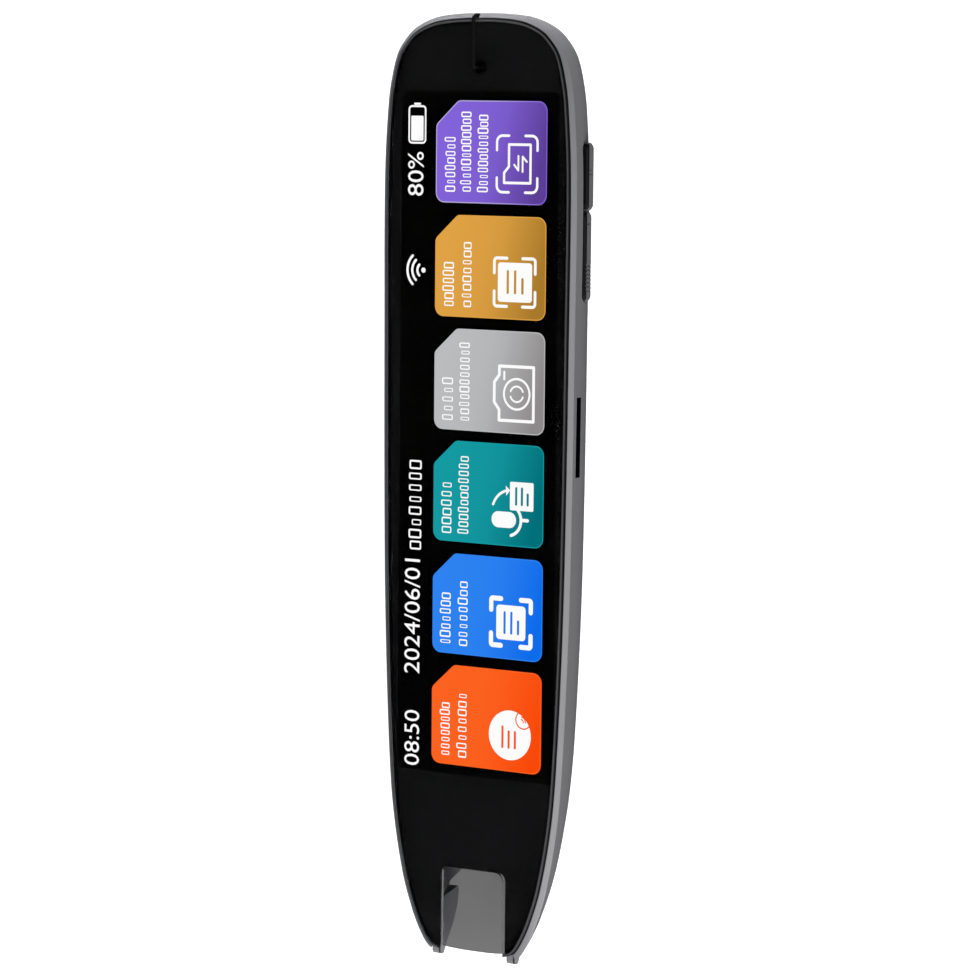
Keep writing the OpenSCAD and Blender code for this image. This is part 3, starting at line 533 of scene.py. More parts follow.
def dark_cell(name, code):
    """Unlit display or printed ink: nearly black with a very fine cell pattern."""
    f = Finish(name)
    colour = rgb(code)
    where = f.place()
    takes = {"Vector": where, "Scale": 6000.0, "Color1": colour, "Color2": shade(colour, 0.8)}
    return f.set(
        Base_Color=f.add("ShaderNodeTexChecker", takes).outputs["Color"],
        Roughness=f.spread(f.noise(where, 300.0), 0.55, 0.7), Specular_IOR_Level=0.0,
    )


# Casing: the tone turns darker from 4.9 mm down to 3.9 mm up, as painted shade on the rounded back
CASE_PAINT_AND_SHADE = case_paint_with_painted_shade("casing_paint_shaded_back", "48484A", "2E2E30", 3.9, 4.9)
# Bezel: grey crown, with black below it as painted shade in the gap round the glass
BEZEL = two_tone_with_painted_shade("bezel_edge_painted_shade", "303032", "030303", zd(0.07), zd(0.035), 0.55, 0.1)
# Keys: grey outer face, with the flank towards the screen black as painted shade in the pocket
KEY = two_tone_with_painted_shade("key_face_painted_shade", "404042", "030303", KEY_Z + 0.52, KEY_Z + 0.42, 0.6, 0.06)
# Shoe: dark bands over the toe grooves, partly parting line and partly painted shade in the grooves
SHOE = lined_with_groove_shade("shoe_plastic_groove_shade", "58585A", "030303", TOE_LINES, 0.16)
BLACK = moulded("black_plastic", "1A1A1B")
NATURAL = moulded("natural_nylon", "D8D6CC")
FOAM = moulded("grey_foam", "3A3A3A", rough=0.9, grain=1500.0, relief=0.5)
POUCH = metal("cell_pouch", "B9BBC0", rough=0.35, lines=500.0)
STEEL = metal("stamped_steel", "B8B8BA", rough=0.28, stretch=(1, 6, 1))
FRAME_METAL = metal("die_cast", "8E9094", rough=0.45, lines=700.0)
BOARD = circuit("board_mask", "1E5A38")
AMBER = moulded("amber_film", "B87A2E", rough=0.3, relief=0.05)
INK = dark_cell("border_ink", "0E0E0F")
CELLS = dark_cell("display_cells", "010101")
GLASS = clear_glass("cover_glass_clear")
SMOKE = smoked("window_smoke")
CORD = moulded("cord_fibre", "040404", rough=0.85, grain=1800.0, relief=0.6, gloss=0.05)
PIT = moulded("deep_black", "020202", rough=0.9, gloss=0.0)
CHANNEL = moulded("channel_wall", "48484A")
LAMP = moulded("lamp_resin", "F2E6B0", rough=0.2, relief=0.02)
WIRE_RED = moulded("wire_cover_red", "B01818", rough=0.4)

BODY_OF = {n: b for b, members in frame["record"]["behaviour"]["bodies"].items() for n in members}


def painted(thing, material, node):
    """Gives a piece its material, and the body of a CAD node."""
    thing.data.materials.clear()
    thing.data.materials.append(material)
    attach(thing, BODY_OF[node])


def finished(thing, material, node):
    """Gives a piece its material, and lets it stand for its CAD node."""
    painted(thing, material, node)
    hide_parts(node)


# ---- Camera, floor and light ----
def place_camera():
    """Long lens, high over the key side."""
    data = bpy.data.cameras.new("studio_camera")
    data.lens, data.sensor_width = 148.41, 36.0
    data.clip_start, data.clip_end = 0.01, 20.0
    camera = linked("studio_camera", data)
    turn = Matrix((
        (0.83402, -0.06013, 0.54845), (0.00907, 0.9954, 0.09533), (-0.55166, -0.07454, 0.83073),
    ))
    camera.matrix_world = Matrix.Translation((0.359464, 0.062443, 0.550025)) @ turn.to_4x4()
    bpy.context.scene.camera = camera


def place_floor():
    """Pale paper: white to the camera, dim to other rays but for a little glow through the window."""
    mesh = bpy.data.meshes.new("floor")
    reach = 4.0
    mesh.from_pydata(
        [(-reach, -reach, 0), (reach, -reach, 0), (reach, reach, 0), (-reach, reach, 0)], [], [(0, 1, 2, 3)]
    )
    floor = linked("floor", mesh)
    floor.location.z = -0.0002
    f = Finish("floor_paper")
    path = f.add("ShaderNodeLightPath").outputs
    through = f.math("MULTIPLY", path["Is Transmission Ray"], 0.26)
    floor.data.materials.append(f.set(
        Base_Color=f.mixed(path["Is Camera Ray"], (0.08, 0.08, 0.08, 1), (0.5, 0.5, 0.5, 1)),
        Emission_Color=(1, 1, 1, 1), Emission_Strength=f.math("MULTIPLY_ADD", path["Is Camera Ray"], 0.7, through),
        Roughness=0.9, Specular_IOR_Level=0.0,
    ))


# Lamps: name, place, what it points at, size, power. The strips only light the ends and don't mirror.
END, CORNER = (0, 0.074, 0.003), (0.012, 0.07, 0.003)
STUDIO_LAMPS = (
    ("key_panel", (0.55, -0.15, 0.55), (0, 0, 0), (0.5, 0.5), 6.8),
    ("tip_panel", (0.55, -0.45, 0.4), (0, 0, 0), (0.3, 0.3), 4.0),
    ("top_panel", (0.3, -0.1, 0.8), (0, 0, 0), (0.3, 0.3), 1.6),
    ("side_panel", (0.5, -0.6, 0.08), (0, 0, 0), (0.3, 0.1), 9.0),
    ("low_panel", (0.1, -0.6, 0.12), (0, 0, 0), (0.4, 0.2), 0.4),
    ("left_panel", (-0.5, -0.35, 0.3), (0, 0, 0), (0.3, 0.3), 2.5),
    ("end_strip", (-0.02, 0.25, 0.02), (0, 0, 0), (0.25, 0.03), 0.4),
    ("end_floor_strip", (-0.02, 0.15, 0.008), END, (0.12, 0.02), 0.42),
    ("corner_strip", (0.03, 0.15, 0.003), CORNER, (0.05, 0.02), 0.1),
)


def place_lights():
    """White world for the camera and dim for the rest, with the lamps."""
    world = bpy.data.worlds.new("studio")
    world.use_nodes = True
    sky = Nodes(world.node_tree)
    seen = sky.add("ShaderNodeLightPath").outputs["Is Camera Ray"]
    strength = sky.add("ShaderNodeMapRange", {"Value": seen, "To Min": 0.12, "To Max": 1.05})
    back = sky.nodes["Background"]
    sky.feed(back.inputs["Color"], (0.95, 0.97, 1.0, 1))
    sky.feed(back.inputs["Strength"], strength.outputs["Result"])
    bpy.context.scene.world = world
    for name, spot, aim, size, power in STUDIO_LAMPS:
        data = bpy.data.lights.new(name, "AREA")
        data.shape, data.size, data.size_y, data.energy = "RECTANGLE", size[0], size[1], power
        lamp = linked(name, data)
        lamp.location = spot
        lamp.rotation_mode = "QUATERNION"
        lamp.rotation_quaternion = (Vector(aim) - Vector(spot)).to_track_quat("-Z", "Y")
        lamp.visible_camera = False
        lamp.visible_glossy = "strip" not in name


# ---- Casing ----
def lip_outline(steps=6):
    """Closed outline of the front lip, clockwise from the lanyard end."""
    right = [(w * LIP_HW, LIP_HALF - d) for d, w in TOP_SHAPE]
    right += [(w * LIP_HW, -LIP_HALF + d) for d, w in TIP_SHAPE]
    left = [(-x, y) for x, y in reversed(right)]
    knots = [Vector(k) for k in [(0, LIP_HALF)] + right + [(0, -LIP_HALF)] + left]
    count = len(knots)

    def tangent(i):
        a, b, c = knots[(i - 1) % count], knots[i % count], knots[(i + 1) % count]
        return (c - a) / ((b - a).length + (c - b).length)

    points = []
    for i in range(count):
        a, b = knots[i], knots[(i + 1) % count]
        d = (b - a).length
        m, n = tangent(i) * d, tangent(i + 1) * d
        for k in range(steps):
            t = k / steps
            points.append(
                a * (2 * t**3 - 3 * t**2 + 1) + m * (t**3 - 2 * t**2 + t)
                + b * (3 * t**2 - 2 * t**3) + n * (t**3 - t**2)
            )
    return points


LIP = lip_outline()


def moved(out):
    """The lip outline moved outward."""
    count = len(LIP)
    points = []
    for i, p in enumerate(LIP):
        d = (LIP[(i + 1) % count] - LIP[i - 1]).normalized()
        points.append((p.x - d.y * out, p.y + d.x * out))
    return points


def swept(q, keep, power):
    """Share of the length that is left at a part of the depth."""
    return keep + (1 - keep) * max(0.0, 1 - q**power) ** (1 / power)


def ring(points, z, narrow=1.0, k_top=1.0, k_tip=1.0):
    """Ring at a height, drawn in across and towards each end."""
    return [(x * narrow, y * (k_top if y > 0 else k_tip), z) for x, y in points]


def casing_rings():
    """Rings of the casing's skin, from the floor inside up to the rim and down round the back."""
    round_h = BODY_T - WALL_TOP
    keep = (LIP_HALF - SWEEP_L) / LIP_HALF
    stop = NOSE_V - 0.35
    far = (LIP_HALF - stop) / LIP_HALF
    inner_keep = (LIP_HALF - SWEEP_L) / (LIP_HALF - stop)

    def rounded(out, depth, a, k_tip):
        narrow = 1 - BACK_ROUND * (1 - math.cos(a)) / OUT_HW
        top = 1 - END_ROUND * (1 - math.cos(a)) / LIP_HALF
        return ring(moved(out), zd(depth), narrow, top, k_tip)

    rings = []
    for a in map(math.radians, INNER_TURNS):
        depth = WALL_TOP + (round_h - FLOOR_T) * math.sin(a)
        rings.append(rounded(-LEDGE_W, depth, a, far * swept(depth / (BODY_T - FLOOR_T), inner_keep, 3)))
    rings.append(ring(moved(-LEDGE_W), zd(BEZEL_H), k_tip=far))
    rings.append(ring(moved(0.0), zd(BEZEL_H)))
    for out, depth in RIM_PROFILE:
        rings.append(ring(moved(out), zd(RIM_DROP + depth)))
    for depth in WALL_DEPTHS:
        rings.append(ring(moved(BAND_W), zd(depth), k_tip=swept(depth / BODY_T, keep, SWEEP_N)))
    for a in map(math.radians, OUTER_TURNS):
        depth = WALL_TOP + round_h * math.sin(a)
        rings.append(rounded(BAND_W, depth, a, swept(depth / BODY_T, keep, SWEEP_N)))
    return rings


def stadium(cy, cz, length, height, x0, x1):
    """Round-ended tool across the body."""
    r = height / 2
    loop = rect(cy - length / 2, cz - r, cy + length / 2, cz + r, r * 0.999, 10)
    return prism("tool", loop, "x", x0, x1)


def end_line(degrees, inward):
    """Place on the end wall and back at the lanyard end, as length and height."""
    a = math.radians(degrees)
    run, rise = (LIP_HALF + BAND_W) * END_ROUND / LIP_HALF, BODY_T - WALL_TOP
    across = Vector((rise * math.cos(a), -run * math.sin(a))).normalized()
    spot = Vector((LIP_HALF + BAND_W - run * (1 - math.cos(a)), rise * (1 - math.sin(a))))
    return spot - across * inward


def cord_groove():
    """Side view of the tool for the groove that takes the cord."""
    deep = 2 * CORD_HW - 0.04
    loop = [(LIP_HALF + BAND_W - deep, BODY_T + 1)]
    loop += [tuple(end_line(a, deep)) for a in range(0, 85, 4)]
    return loop + [(HOLE_Y, deep), (HOLE_Y, -1), (LIP_HALF + 3, -1), (LIP_HALF + 3, BODY_T + 1)]


def casing():
    """Moulded tub: rings, then its well, bores, pockets, slots and channel."""
    shell = skin("rear_casing", casing_rings())
    key0, key1 = POCKET
    slot0, slot1 = SLOT_Y - SLOT_HALF, SLOT_Y + SLOT_HALF
    inside, bay, nose = yv(CHAN_V) - 1, yv(BAY_V), yv(NOSE_V)
    tools = [
        # display well, lanyard hole, cord groove
        prism("tool", rect(*WELL, 1), "z", zd(WELL_D[0]), zd(WELL_D[1])),
        hole_tool(BUSH_R, UNDER, OVER),
        prism("tool", cord_groove(), "x", -CORD_HW - CORD_LEAN, CORD_HW - CORD_LEAN),
        # opening for the keys and the room behind it
        stadium((key0 + key1) / 2, KEY_Z, key1 - key0, KEY_H, KEY_IN, ASIDE),
        span((14.75, key0 - 0.6, KEY_Z - 1.75), (OUT_HW - 1.8, key1 + 0.6, KEY_Z + 1.65)),
        # charging port, speaker slot with its recess, microphone hole
        stadium(PORT_Y, PORT_Z, PORT_L, PORT_H, -ASIDE, PORT_IN),
        prism("tool", rect(slot0, SLOT_Z[0], slot1, SLOT_Z[1], 0.12, 3), "x", OUT_HW - 3, ASIDE),
        span((14.55, SLOT_Y - 7, 6.85), (OUT_HW - 2, SLOT_Y + 7, zd(BEZEL_H) + 0.01)),
        bore(MIC_X, MIC_D, MIC_R, 16, 70, 80),
        # scanning channel, bay behind the nose, lens bore
        span((-CHAN_HW, -80, UNDER), (CHAN_HW, yv(CHAN_V), OVER)),
        span((-BAY_HW, nose, zd(BAY_D)), (BAY_HW, bay, OVER)),
        bore(0, LENS_D, LENS_R, 40, inside, bay),
    ]
    split = [(SPLIT_V, -1), (SPLIT_V, 1.1), (SPLIT_V + 0.85, 2.9), (SPLIT_V + 1.55, 3),
             (SPLIT_V + 5, 11.6), (-6, 12), (-6, -1)]
    for side in (-1, 1):  # arm slot, place of a cheek, lamp bore
        a, b, c = (side * v for v in (CHAN_HW + 0.75, SLOT_OUT, CHAN_HW - 0.2))
        tools.append(span((min(a, b), yv(SPLIT_V) - 1, zd(ARM_D)), (max(a, b), nose + 1, OVER)))
        tools.append(prism("tool", [(yv(v), zd(d)) for v, d in split], "x", min(b, c), max(b, c)))
        tools.append(bore(side * LAMP_X, LAMP_D, LAMP_R, 28, inside, nose + 1))
    cut_with(shell, tools)
    shaded(shell, 26)
    finished(shell, CASE_PAINT_AND_SHADE, "rear_housing")
    for lining in (PIT, CHANNEL):
        shell.data.materials.append(lining)
    slot_mid, slot_reach = sum(SLOT_Z) / 2, (SLOT_Z[1] - SLOT_Z[0]) / 2 + 0.01
    # The speaker slot's inner walls take the near black as painted shade inside the slot
    for face in shell.data.polygons:
        x, y, z = face.center / MM
        by_slot = abs(y - SLOT_Y) < SLOT_HALF + 0.05 and abs(z - slot_mid) < slot_reach
        if 15 < x < OUT_HW - 0.03 and by_slot and abs(face.normal.x) < 0.5:
            face.material_index = 1
        if y < yv(CHAN_V) + 0.02 and abs(x) < CHAN_HW + 0.02 and z > 0.2:
            face.material_index = 2


# ---- Front glass, its frame and its printed border ----
def notch_tool(grow, low, high):
    """Tool for the scanning notch, grown on all sides."""
    top = yv(NOTCH_V) + grow
    loop = rect(-CHAN_HW - grow, yv(-6), CHAN_HW + grow, top, [0, 0, NOTCH_R, NOTCH_R], 8)
    return prism("tool", loop, "z", low, high)


def lip_slab(name, inward, depth_a, depth_b):
    """Plate with the outline of the lip, moved inward."""
    return prism(name, moved(-inward), "z", zd(depth_b), zd(depth_a))


def bezel():
    """Frame round the glass: a crowned edge over black sides that are painted shade for the gap round the glass,
    and the shelf it hangs from.
    """
    a, b = BEZEL_GAP, BEZEL_GAP + BEZEL_W
    section = (
        (b, BEZEL_H), (b, 0.1), (b - 0.015, 0.055), (b - 0.05, 0.02), (b - 0.1, 0.004), (b - 0.17, 0.0),
        (b - 0.24, 0.01), (b - 0.29, 0.04), (b - 0.34, 0.09), (a + 0.06, 0.14), (a + 0.02, 0.2), (a, 0.28),
        (a, BEZEL_H),
    )
    thing = skin("bezel_frame", [ring(moved(-w), zd(d)) for w, d in section], closed=True)
    shelf = lip_slab("shelf", a + 0.1, SHELF_D, BEZEL_H - 0.01)
    x0, x1, y0, y1 = DISPLAY
    opening = rect(x0 - 0.3, y0 - 0.25, x1 + 0.2, y1 + 0.25, 1)
    cut_with(shelf, [prism("tool", opening, "z", *FRONT), hole_tool(SHELF_R, *FRONT)])
    united(thing, shelf)
    arm = SLOT_OUT + 0.1
    cut_with(thing, [
        notch_tool(0.05, *FRONT),
        span((-arm, yv(-3), FRONT[0]), (arm, yv(SPLIT_V + 0.65), zd(SHELF_D) - 0.02)),
    ])
    shaded(thing, 32)
    finished(thing, BEZEL, "front_bezel")


def front_glass():
    """Cover glass, the ink printed behind its border, and the face of the display."""
    glass = lip_slab("front_glass", GLASS_IN, 0, GLASS_T)
    cut_with(glass, [notch_tool(0, zd(2), OVER), hole_tool(HOLE_R, *FRONT)])
    bevelled(glass, 0.1, 50)
    shaded(glass, 32)
    finished(glass, GLASS, "cover_glass")
    ink = lip_slab("border_print", GLASS_IN + 0.03, GLASS_T + 0.005, GLASS_T + 0.09)
    x0, x1, y0, y1 = DISPLAY
    cut_with(ink, [
        notch_tool(0.02, *FRONT), hole_tool(HOLE_R + 0.25, *FRONT),
        prism("tool", rect(x0, y0, x1, y1, 1.2), "z", *FRONT),
    ])
    finished(ink, INK, "glass_adhesive")
    cells = prism("display_face", rect(x0 + 0.02, y0 + 0.02, x1 - 0.02, y1 - 0.02, 1.2), "z",
                  zd(GLASS_T + 0.09), zd(GLASS_T + 0.05))
    finished(cells, CELLS, "touch_sensor")


# ---- Screen picture ----
TILE_X = (-8.85, 12.4)
TILE_H = 16.4
TILES = [
    ("violet", 62.75, "8464DC", "5C3E98"), ("gold", 44.4, "E2A445", "A97A2A"),
    ("grey", 26.1, "BCBEC0", "8F8B8C"), ("teal", 7.95, "149CA4", "00707A"),
    ("blue", -10.4, "2E84F2", "0C6CEC"), ("orange", -28.65, "FF6420", "FA4A08"),
]
SHIFT_X, SHIFT_Y = 0.52, 0.1
# Layers of the picture: depths of the face and of the underside
TILE, RIM, MARK, DARK = (0.93, 0.945), (0.922, 0.93), (0.908, 0.92), (0.9, 0.907)
FIGURE_D, LABEL_D, TEXT_T = 0.908, 0.914, 0.008  # faces of figures, middle of blocks, thickness of both
BLOCK_W, BLOCK_AT = 0.66, 0.33  # width and middle of a block, as parts of the pitch


class Drawing:
    """Flat shapes gathered into one thin piece of the picture."""

    def __init__(self, name, layer):
        self.name, self.high, self.low = name, zd(layer[0]), zd(layer[1])
        self.verts, self.faces = [], []

    def loop(self, points):
        start, count = len(self.verts), len(points)
        self.verts += [(x + SHIFT_X, y + SHIFT_Y, z) for z in (self.low, self.high) for x, y in points]
        self.faces += [[a + i for i in range(count)] for a in (start, start + count)]
        self.faces += walls(start, start + count, count)

    def band(self, outer, inner):
        """Closed strip between two loops with equal counts."""
        start, count = len(self.verts), len(outer)
        self.verts += [(x + SHIFT_X, y + SHIFT_Y, z) for z in (self.low, self.high)
                       for side in (outer, inner) for x, y in side]
        a, b, c, d = (start + k * count for k in range(4))
        for p, q in ((a, b), (c, d), (a, c), (b, d)):
            self.faces += walls(p, q, count)

    def stroke(self, points, width):
        """Round-ended line through points."""
        r = width / 2
        for (ax, ay), (bx, by) in zip(points, points[1:]):
            turn = math.atan2(by - ay, bx - ax)
            self.loop([(x + r * math.cos(turn + t), y + r * math.sin(turn + t))
                       for x, y, half in ((bx, by, -0.5), (ax, ay, 0.5))
                       for t in (math.pi * (k / 6 + half) for k in range(7))])

    def arc(self, cx, cy, r, width, a0, a1, steps):
        turns = [math.radians(a0 + (a1 - a0) * k / steps) for k in range(steps + 1)]
        self.stroke([(cx + r * math.cos(t), cy + r * math.sin(t)) for t in turns], width)

    def made(self, material):
        painted(mesh_object(self.name, self.verts, self.faces), material, "display_panel")


def corners(d, x0, y0, x1, y1, arm, width, r):
    """Four framing corners of a viewfinder."""
    for x, sx, y, sy in ((x0, 1, y1, -1), (x1, -1, y1, -1), (x0, 1, y0, 1), (x1, -1, y0, 1)):
        turn = [(x + sx * arm, y)]
        for k in range(5):
            t = math.radians(90 * k / 4)
            turn.append((x + sx * (r - r * math.sin(t)), y + sy * (r - r * math.cos(t))))
        turn.append((x, y + sy * arm))
        d.stroke(turn, width)


def tile_loop(top):
    """Outline of a tile: a rectangle with one corner cut off."""
    x0, x1 = TILE_X
    bottom = top - TILE_H
    return filleted(
        [(x0, bottom), (x1, bottom - 0.1), (x1, top - 0.05), (x0 + 4.3, top), (x0, top - 3.9)],
        [1.6, 1.6, 1.6, 1.2, 1.2],
    )


class Pattern(Nodes):
    """A Geometry Nodes tree with named inputs."""

    def __init__(self, name, **inputs):
        self.tree = bpy.data.node_groups.new(name, "GeometryNodeTree")
        self.tree.is_modifier = True
        super().__init__(self.tree)
        kinds = {"Geometry": "Geometry", **inputs, "Material": "Material"}
        for key, kind in kinds.items():
            self.tree.interface.new_socket(key, in_out="INPUT", socket_type=f"NodeSocket{kind}")
        self.tree.interface.new_socket("Geometry", in_out="OUTPUT", socket_type="NodeSocketGeometry")
        self.given = self.add("NodeGroupInput").outputs

    def ended(self, geometry):
        """Makes the copies real, paints them and gives the tree."""
        real = self.add("GeometryNodeRealizeInstances", {"Geometry": geometry}).outputs[0]
        takes = {"Geometry": real, "Material": self.given["Material"]}
        paint = self.add("GeometryNodeSetMaterial", takes).outputs[0]
        self.add("NodeGroupOutput", {"Geometry": paint})
        return self.tree


def label_tree():
    """Tree for a row of small open blocks along a baseline, in place of words."""
    t = Pattern("label_blocks", Blocks="Int", Pitch="Float", Width="Float", Height="Float", Stroke="Float",
                Corner="Float", Thickness="Float", Seed="Int", Origin="Vector")
    given = t.given
    step = t.add("ShaderNodeCombineXYZ", {"Y": given["Pitch"]}).outputs[0]
    line = t.add("GeometryNodeMeshLine", {
        "Count": given["Blocks"], "Start Location": given["Origin"], "Offset": step,
    })
    outline = t.add("GeometryNodeCurvePrimitiveQuadrilateral", {
        "Width": given["Height"], "Height": given["Width"],
    })
    rounding = t.add("GeometryNodeFilletCurve", {
        "Count": 3, "Curve": outline.outputs["Curve"], "Radius": given["Corner"],
    }, mode="POLY")
    section = t.add("GeometryNodeCurvePrimitiveQuadrilateral", {
        "Width": given["Stroke"], "Height": given["Thickness"],
    })
    block = t.add("GeometryNodeCurveToMesh", {
        "Curve": rounding.outputs["Curve"], "Profile Curve": section.outputs["Curve"],
    })
    half = t.math("MULTIPLY", given["Height"], -0.5)
    lift = t.add("GeometryNodeTransform", {
        "Geometry": block.outputs["Mesh"], "Translation": t.add("ShaderNodeCombineXYZ", {"X": half}).outputs[0],
    })
    chance = t.add("FunctionNodeRandomValue", {
        "Min": (0.7, 0.5, 1.0), "Max": (1.0, 1.05, 1.0), "Seed": given["Seed"],
    }, data_type="FLOAT_VECTOR")
    return t.ended(t.add("GeometryNodeInstanceOnPoints", {
        "Points": line.outputs["Mesh"], "Instance": lift.outputs["Geometry"],
        "Scale": next(o for o in chance.outputs if o.enabled),
    }).outputs["Instances"])


def with_nodes(thing, tree, **values):
    """Runs a node tree on a piece and keeps the mesh that comes out."""
    mod = thing.modifiers.new(tree.name, "NODES")
    mod.node_group = tree
    sockets = {s.name: s.identifier for s in tree.interface.items_tree if s.in_out == "INPUT"}
    for name, value in values.items():
        mod[sockets[name]] = value
    applied(thing)


# Rows of blocks: baseline x, first y, last y, blocks, height
LABELS = {
    "violet": [(-5.2, 48.2, 56.9, 8, 1.9), (-2.15, 48.2, 60.9, 12, 1.9), (1.1, 48.2, 60.4, 12, 1.9)],
    "gold": [(-5.3, 29.7, 36.7, 6, 2.0), (-1.9, 29.7, 40.0, 8, 1.8)],
    "grey": [(-5.3, 11.2, 18.1, 5, 2.0), (-2.1, 11.2, 23.9, 11, 1.9)],
    "teal": [(-5.4, -7.1, 1.2, 6, 1.9), (-2.1, -7.1, 5.5, 11, 1.9)],
    "blue": [(-5.4, -25.3, -17.0, 7, 1.9), (-2.1, -25.3, -14.9, 8, 1.8)],
    "orange": [(-5.4, -43.6, -35.0, 8, 1.9), (-2.1, -43.6, -33.1, 8, 1.8)],
    "status": [(-11.35, -10.2, 4.3, 8, 2.3)],
}


def labels(white):
    """One piece for each row of blocks. The seeds run on from row to row."""
    tree = label_tree()
    seed = 3
    for name, rows in LABELS.items():
        stroke = 0.32 if name == "status" else 0.25
        for k, (x, y0, y1, count, height) in enumerate(rows):
            seed += 1
            mesh = bpy.data.meshes.new(f"label_{name}_{k}")
            thing = linked(mesh.name, mesh)
            pitch = (y1 - y0) / (count - 0.3)
            start = (x + SHIFT_X, y0 + SHIFT_Y + pitch * BLOCK_AT, zd(LABEL_D))
            with_nodes(
                thing, tree, Blocks=count, Pitch=pitch * MM, Width=pitch * BLOCK_W * MM, Height=height * MM,
                Stroke=stroke * MM, Corner=0.2 * MM, Thickness=TEXT_T * MM, Seed=seed, Material=white,
                Origin=tuple(v * MM for v in start),
            )
            painted(thing, white, "display_panel")


def figures(name, text, x_base, y0, y1, material):
    """Row of figures that reads towards the lanyard end, fitted between two places."""
    curve = bpy.data.curves.new(name, "FONT")
    curve.body = text
    curve.resolution_u = 3
    thing = linked(name, curve)
    flat = evaluated_mesh(thing)
    bpy.data.objects.remove(thing)
    bpy.data.curves.remove(curve)
    xs = [v.co.x for v in flat.vertices]
    left, k = min(xs), (y1 - y0) / (max(xs) - min(xs))
    spots = [(x_base + SHIFT_X - v.co.y * k, y0 + SHIFT_Y + (v.co.x - left) * k) for v in flat.vertices]
    tops = [tuple(face.vertices) for face in flat.polygons]
    bpy.data.meshes.remove(flat)
    count = len(spots)
    edges = [tuple(sorted(edge)) for face in tops for edge in zip(face, face[1:] + face[:1])]
    sides = [(a, b, b + count, a + count) for a, b in edges if edges.count((a, b)) == 1]
    verts = [(x, y, zd(depth)) for depth in (FIGURE_D, FIGURE_D + TEXT_T) for x, y in spots]
    faces = tops + [tuple(v + count for v in face) for face in tops] + sides
    painted(mesh_object(name, verts, faces), material, "display_panel")


# Lines of the icons
PAGE = [(4.3, 49.7), (4.3, 51.3), (5.2, 52.3), (5.2, 55.8), (9.3, 55.8), (9.3, 49.7), (4.3, 49.7)]
ARROWS = [[(7.0, 51.7), (7.0, 54.0)], [(7.8, 51.5), (7.8, 53.9)], [(7.0, 51.7), (6.2, 52.6)],
          [(7.8, 53.9), (8.6, 53.1)]]
CAMERA = [(3.75, 11.7), (3.75, 13.4), (2.8, 14.6), (2.8, 17.8), (3.75, 19.0), (3.75, 20.4), (10.3, 20.4),
          (10.3, 11.7), (3.75, 11.7)]
# Text lines on the filled pages: width, then each line's place and its two ends
PAGE_LINES = {
    "gold": (0.45, ((5.2, 32.2, 35.6), (6.6, 32.2, 35.6), (8.0, 32.2, 34.4))),
    "teal": (0.42, ((7.2, -1.7, 0.9), (8.3, -1.7, 0.9), (9.4, -1.7, 0.0))),
    "blue": (0.42, ((5.2, -22.6, -19.3), (6.5, -22.6, -19.3), (7.8, -22.6, -20.6))),
    "orange": (0.42, ((5.0, -41.2, -37.9), (6.2, -41.2, -38.6), (7.4, -41.2, -38.6))),
}


def white_marks(white):
    """Icons, charge state and signal, in one piece."""
    marks = Drawing("picture_marks", MARK)
    # viewfinder with a page and two arrows
    corners(marks, 2.9, 48.2, 10.6, 57.2, 2.3, 0.42, 1.0)
    marks.stroke(PAGE, 0.42)
    for points in ARROWS:
        marks.stroke(points, 0.32)
    # viewfinder with a filled page
    corners(marks, 2.6, 30.0, 10.4, 37.7, 2.4, 0.5, 0.5)
    marks.loop(rect(3.3, 30.7, 9.8, 37.0, 0.5))
    # camera
    marks.stroke(CAMERA, 0.5)
    marks.arc(7.1, 16.0, 2.45, 0.36, 0, 360, 32)
    marks.arc(7.1, 16.0, 1.25, 0.3, 20, 160, 10)
    marks.arc(7.1, 16.0, 1.25, 0.3, 200, 340, 10)
    marks.stroke([(4.7, 18.3), (4.7, 19.5)], 0.36)
    # microphone and page
    marks.loop(rect(2.5, -5.6, 7.2, -3.0, 1.29, 8))
    marks.arc(5.6, -4.3, 2.55, 0.5, -75, 75, 14)
    marks.stroke([(8.2, -4.2), (9.4, -4.2)], 0.55)
    marks.loop(rect(6.0, -2.7, 10.5, 1.9, 0.25))
    marks.arc(6.3, -3.2, 3.75, 0.42, 160, 105, 8)
    marks.loop([(5.2, 1.2), (5.3, -0.4), (6.0, 0.5)])
    # heavy viewfinder with a filled page
    corners(marks, 2.6, -24.7, 10.2, -17.1, 1.9, 0.8, 0.3)
    marks.loop(rect(3.6, -23.7, 9.2, -18.1, 0.6))
    # disc
    marks.loop(circle(6.4, -39.2, 4.05, 48))
    # charge state, signal
    cell = rect(-14.3, 55.7, -10.8, 61.9, 0.7)
    marks.band(cell, inset(cell, 0.3))
    marks.loop(rect(-13.2, 61.95, -11.9, 62.3, 0.12))
    marks.loop(rect(-13.75, 56.2, -11.35, 60.2, 0.2))
    for r in (1.15, 2.15, 3.1):
        marks.arc(-11.2, 35.3, r, 0.42, 132, 228, 10)
    marks.loop(circle(-11.15, 35.3, 0.42, 16))
    marks.made(white)


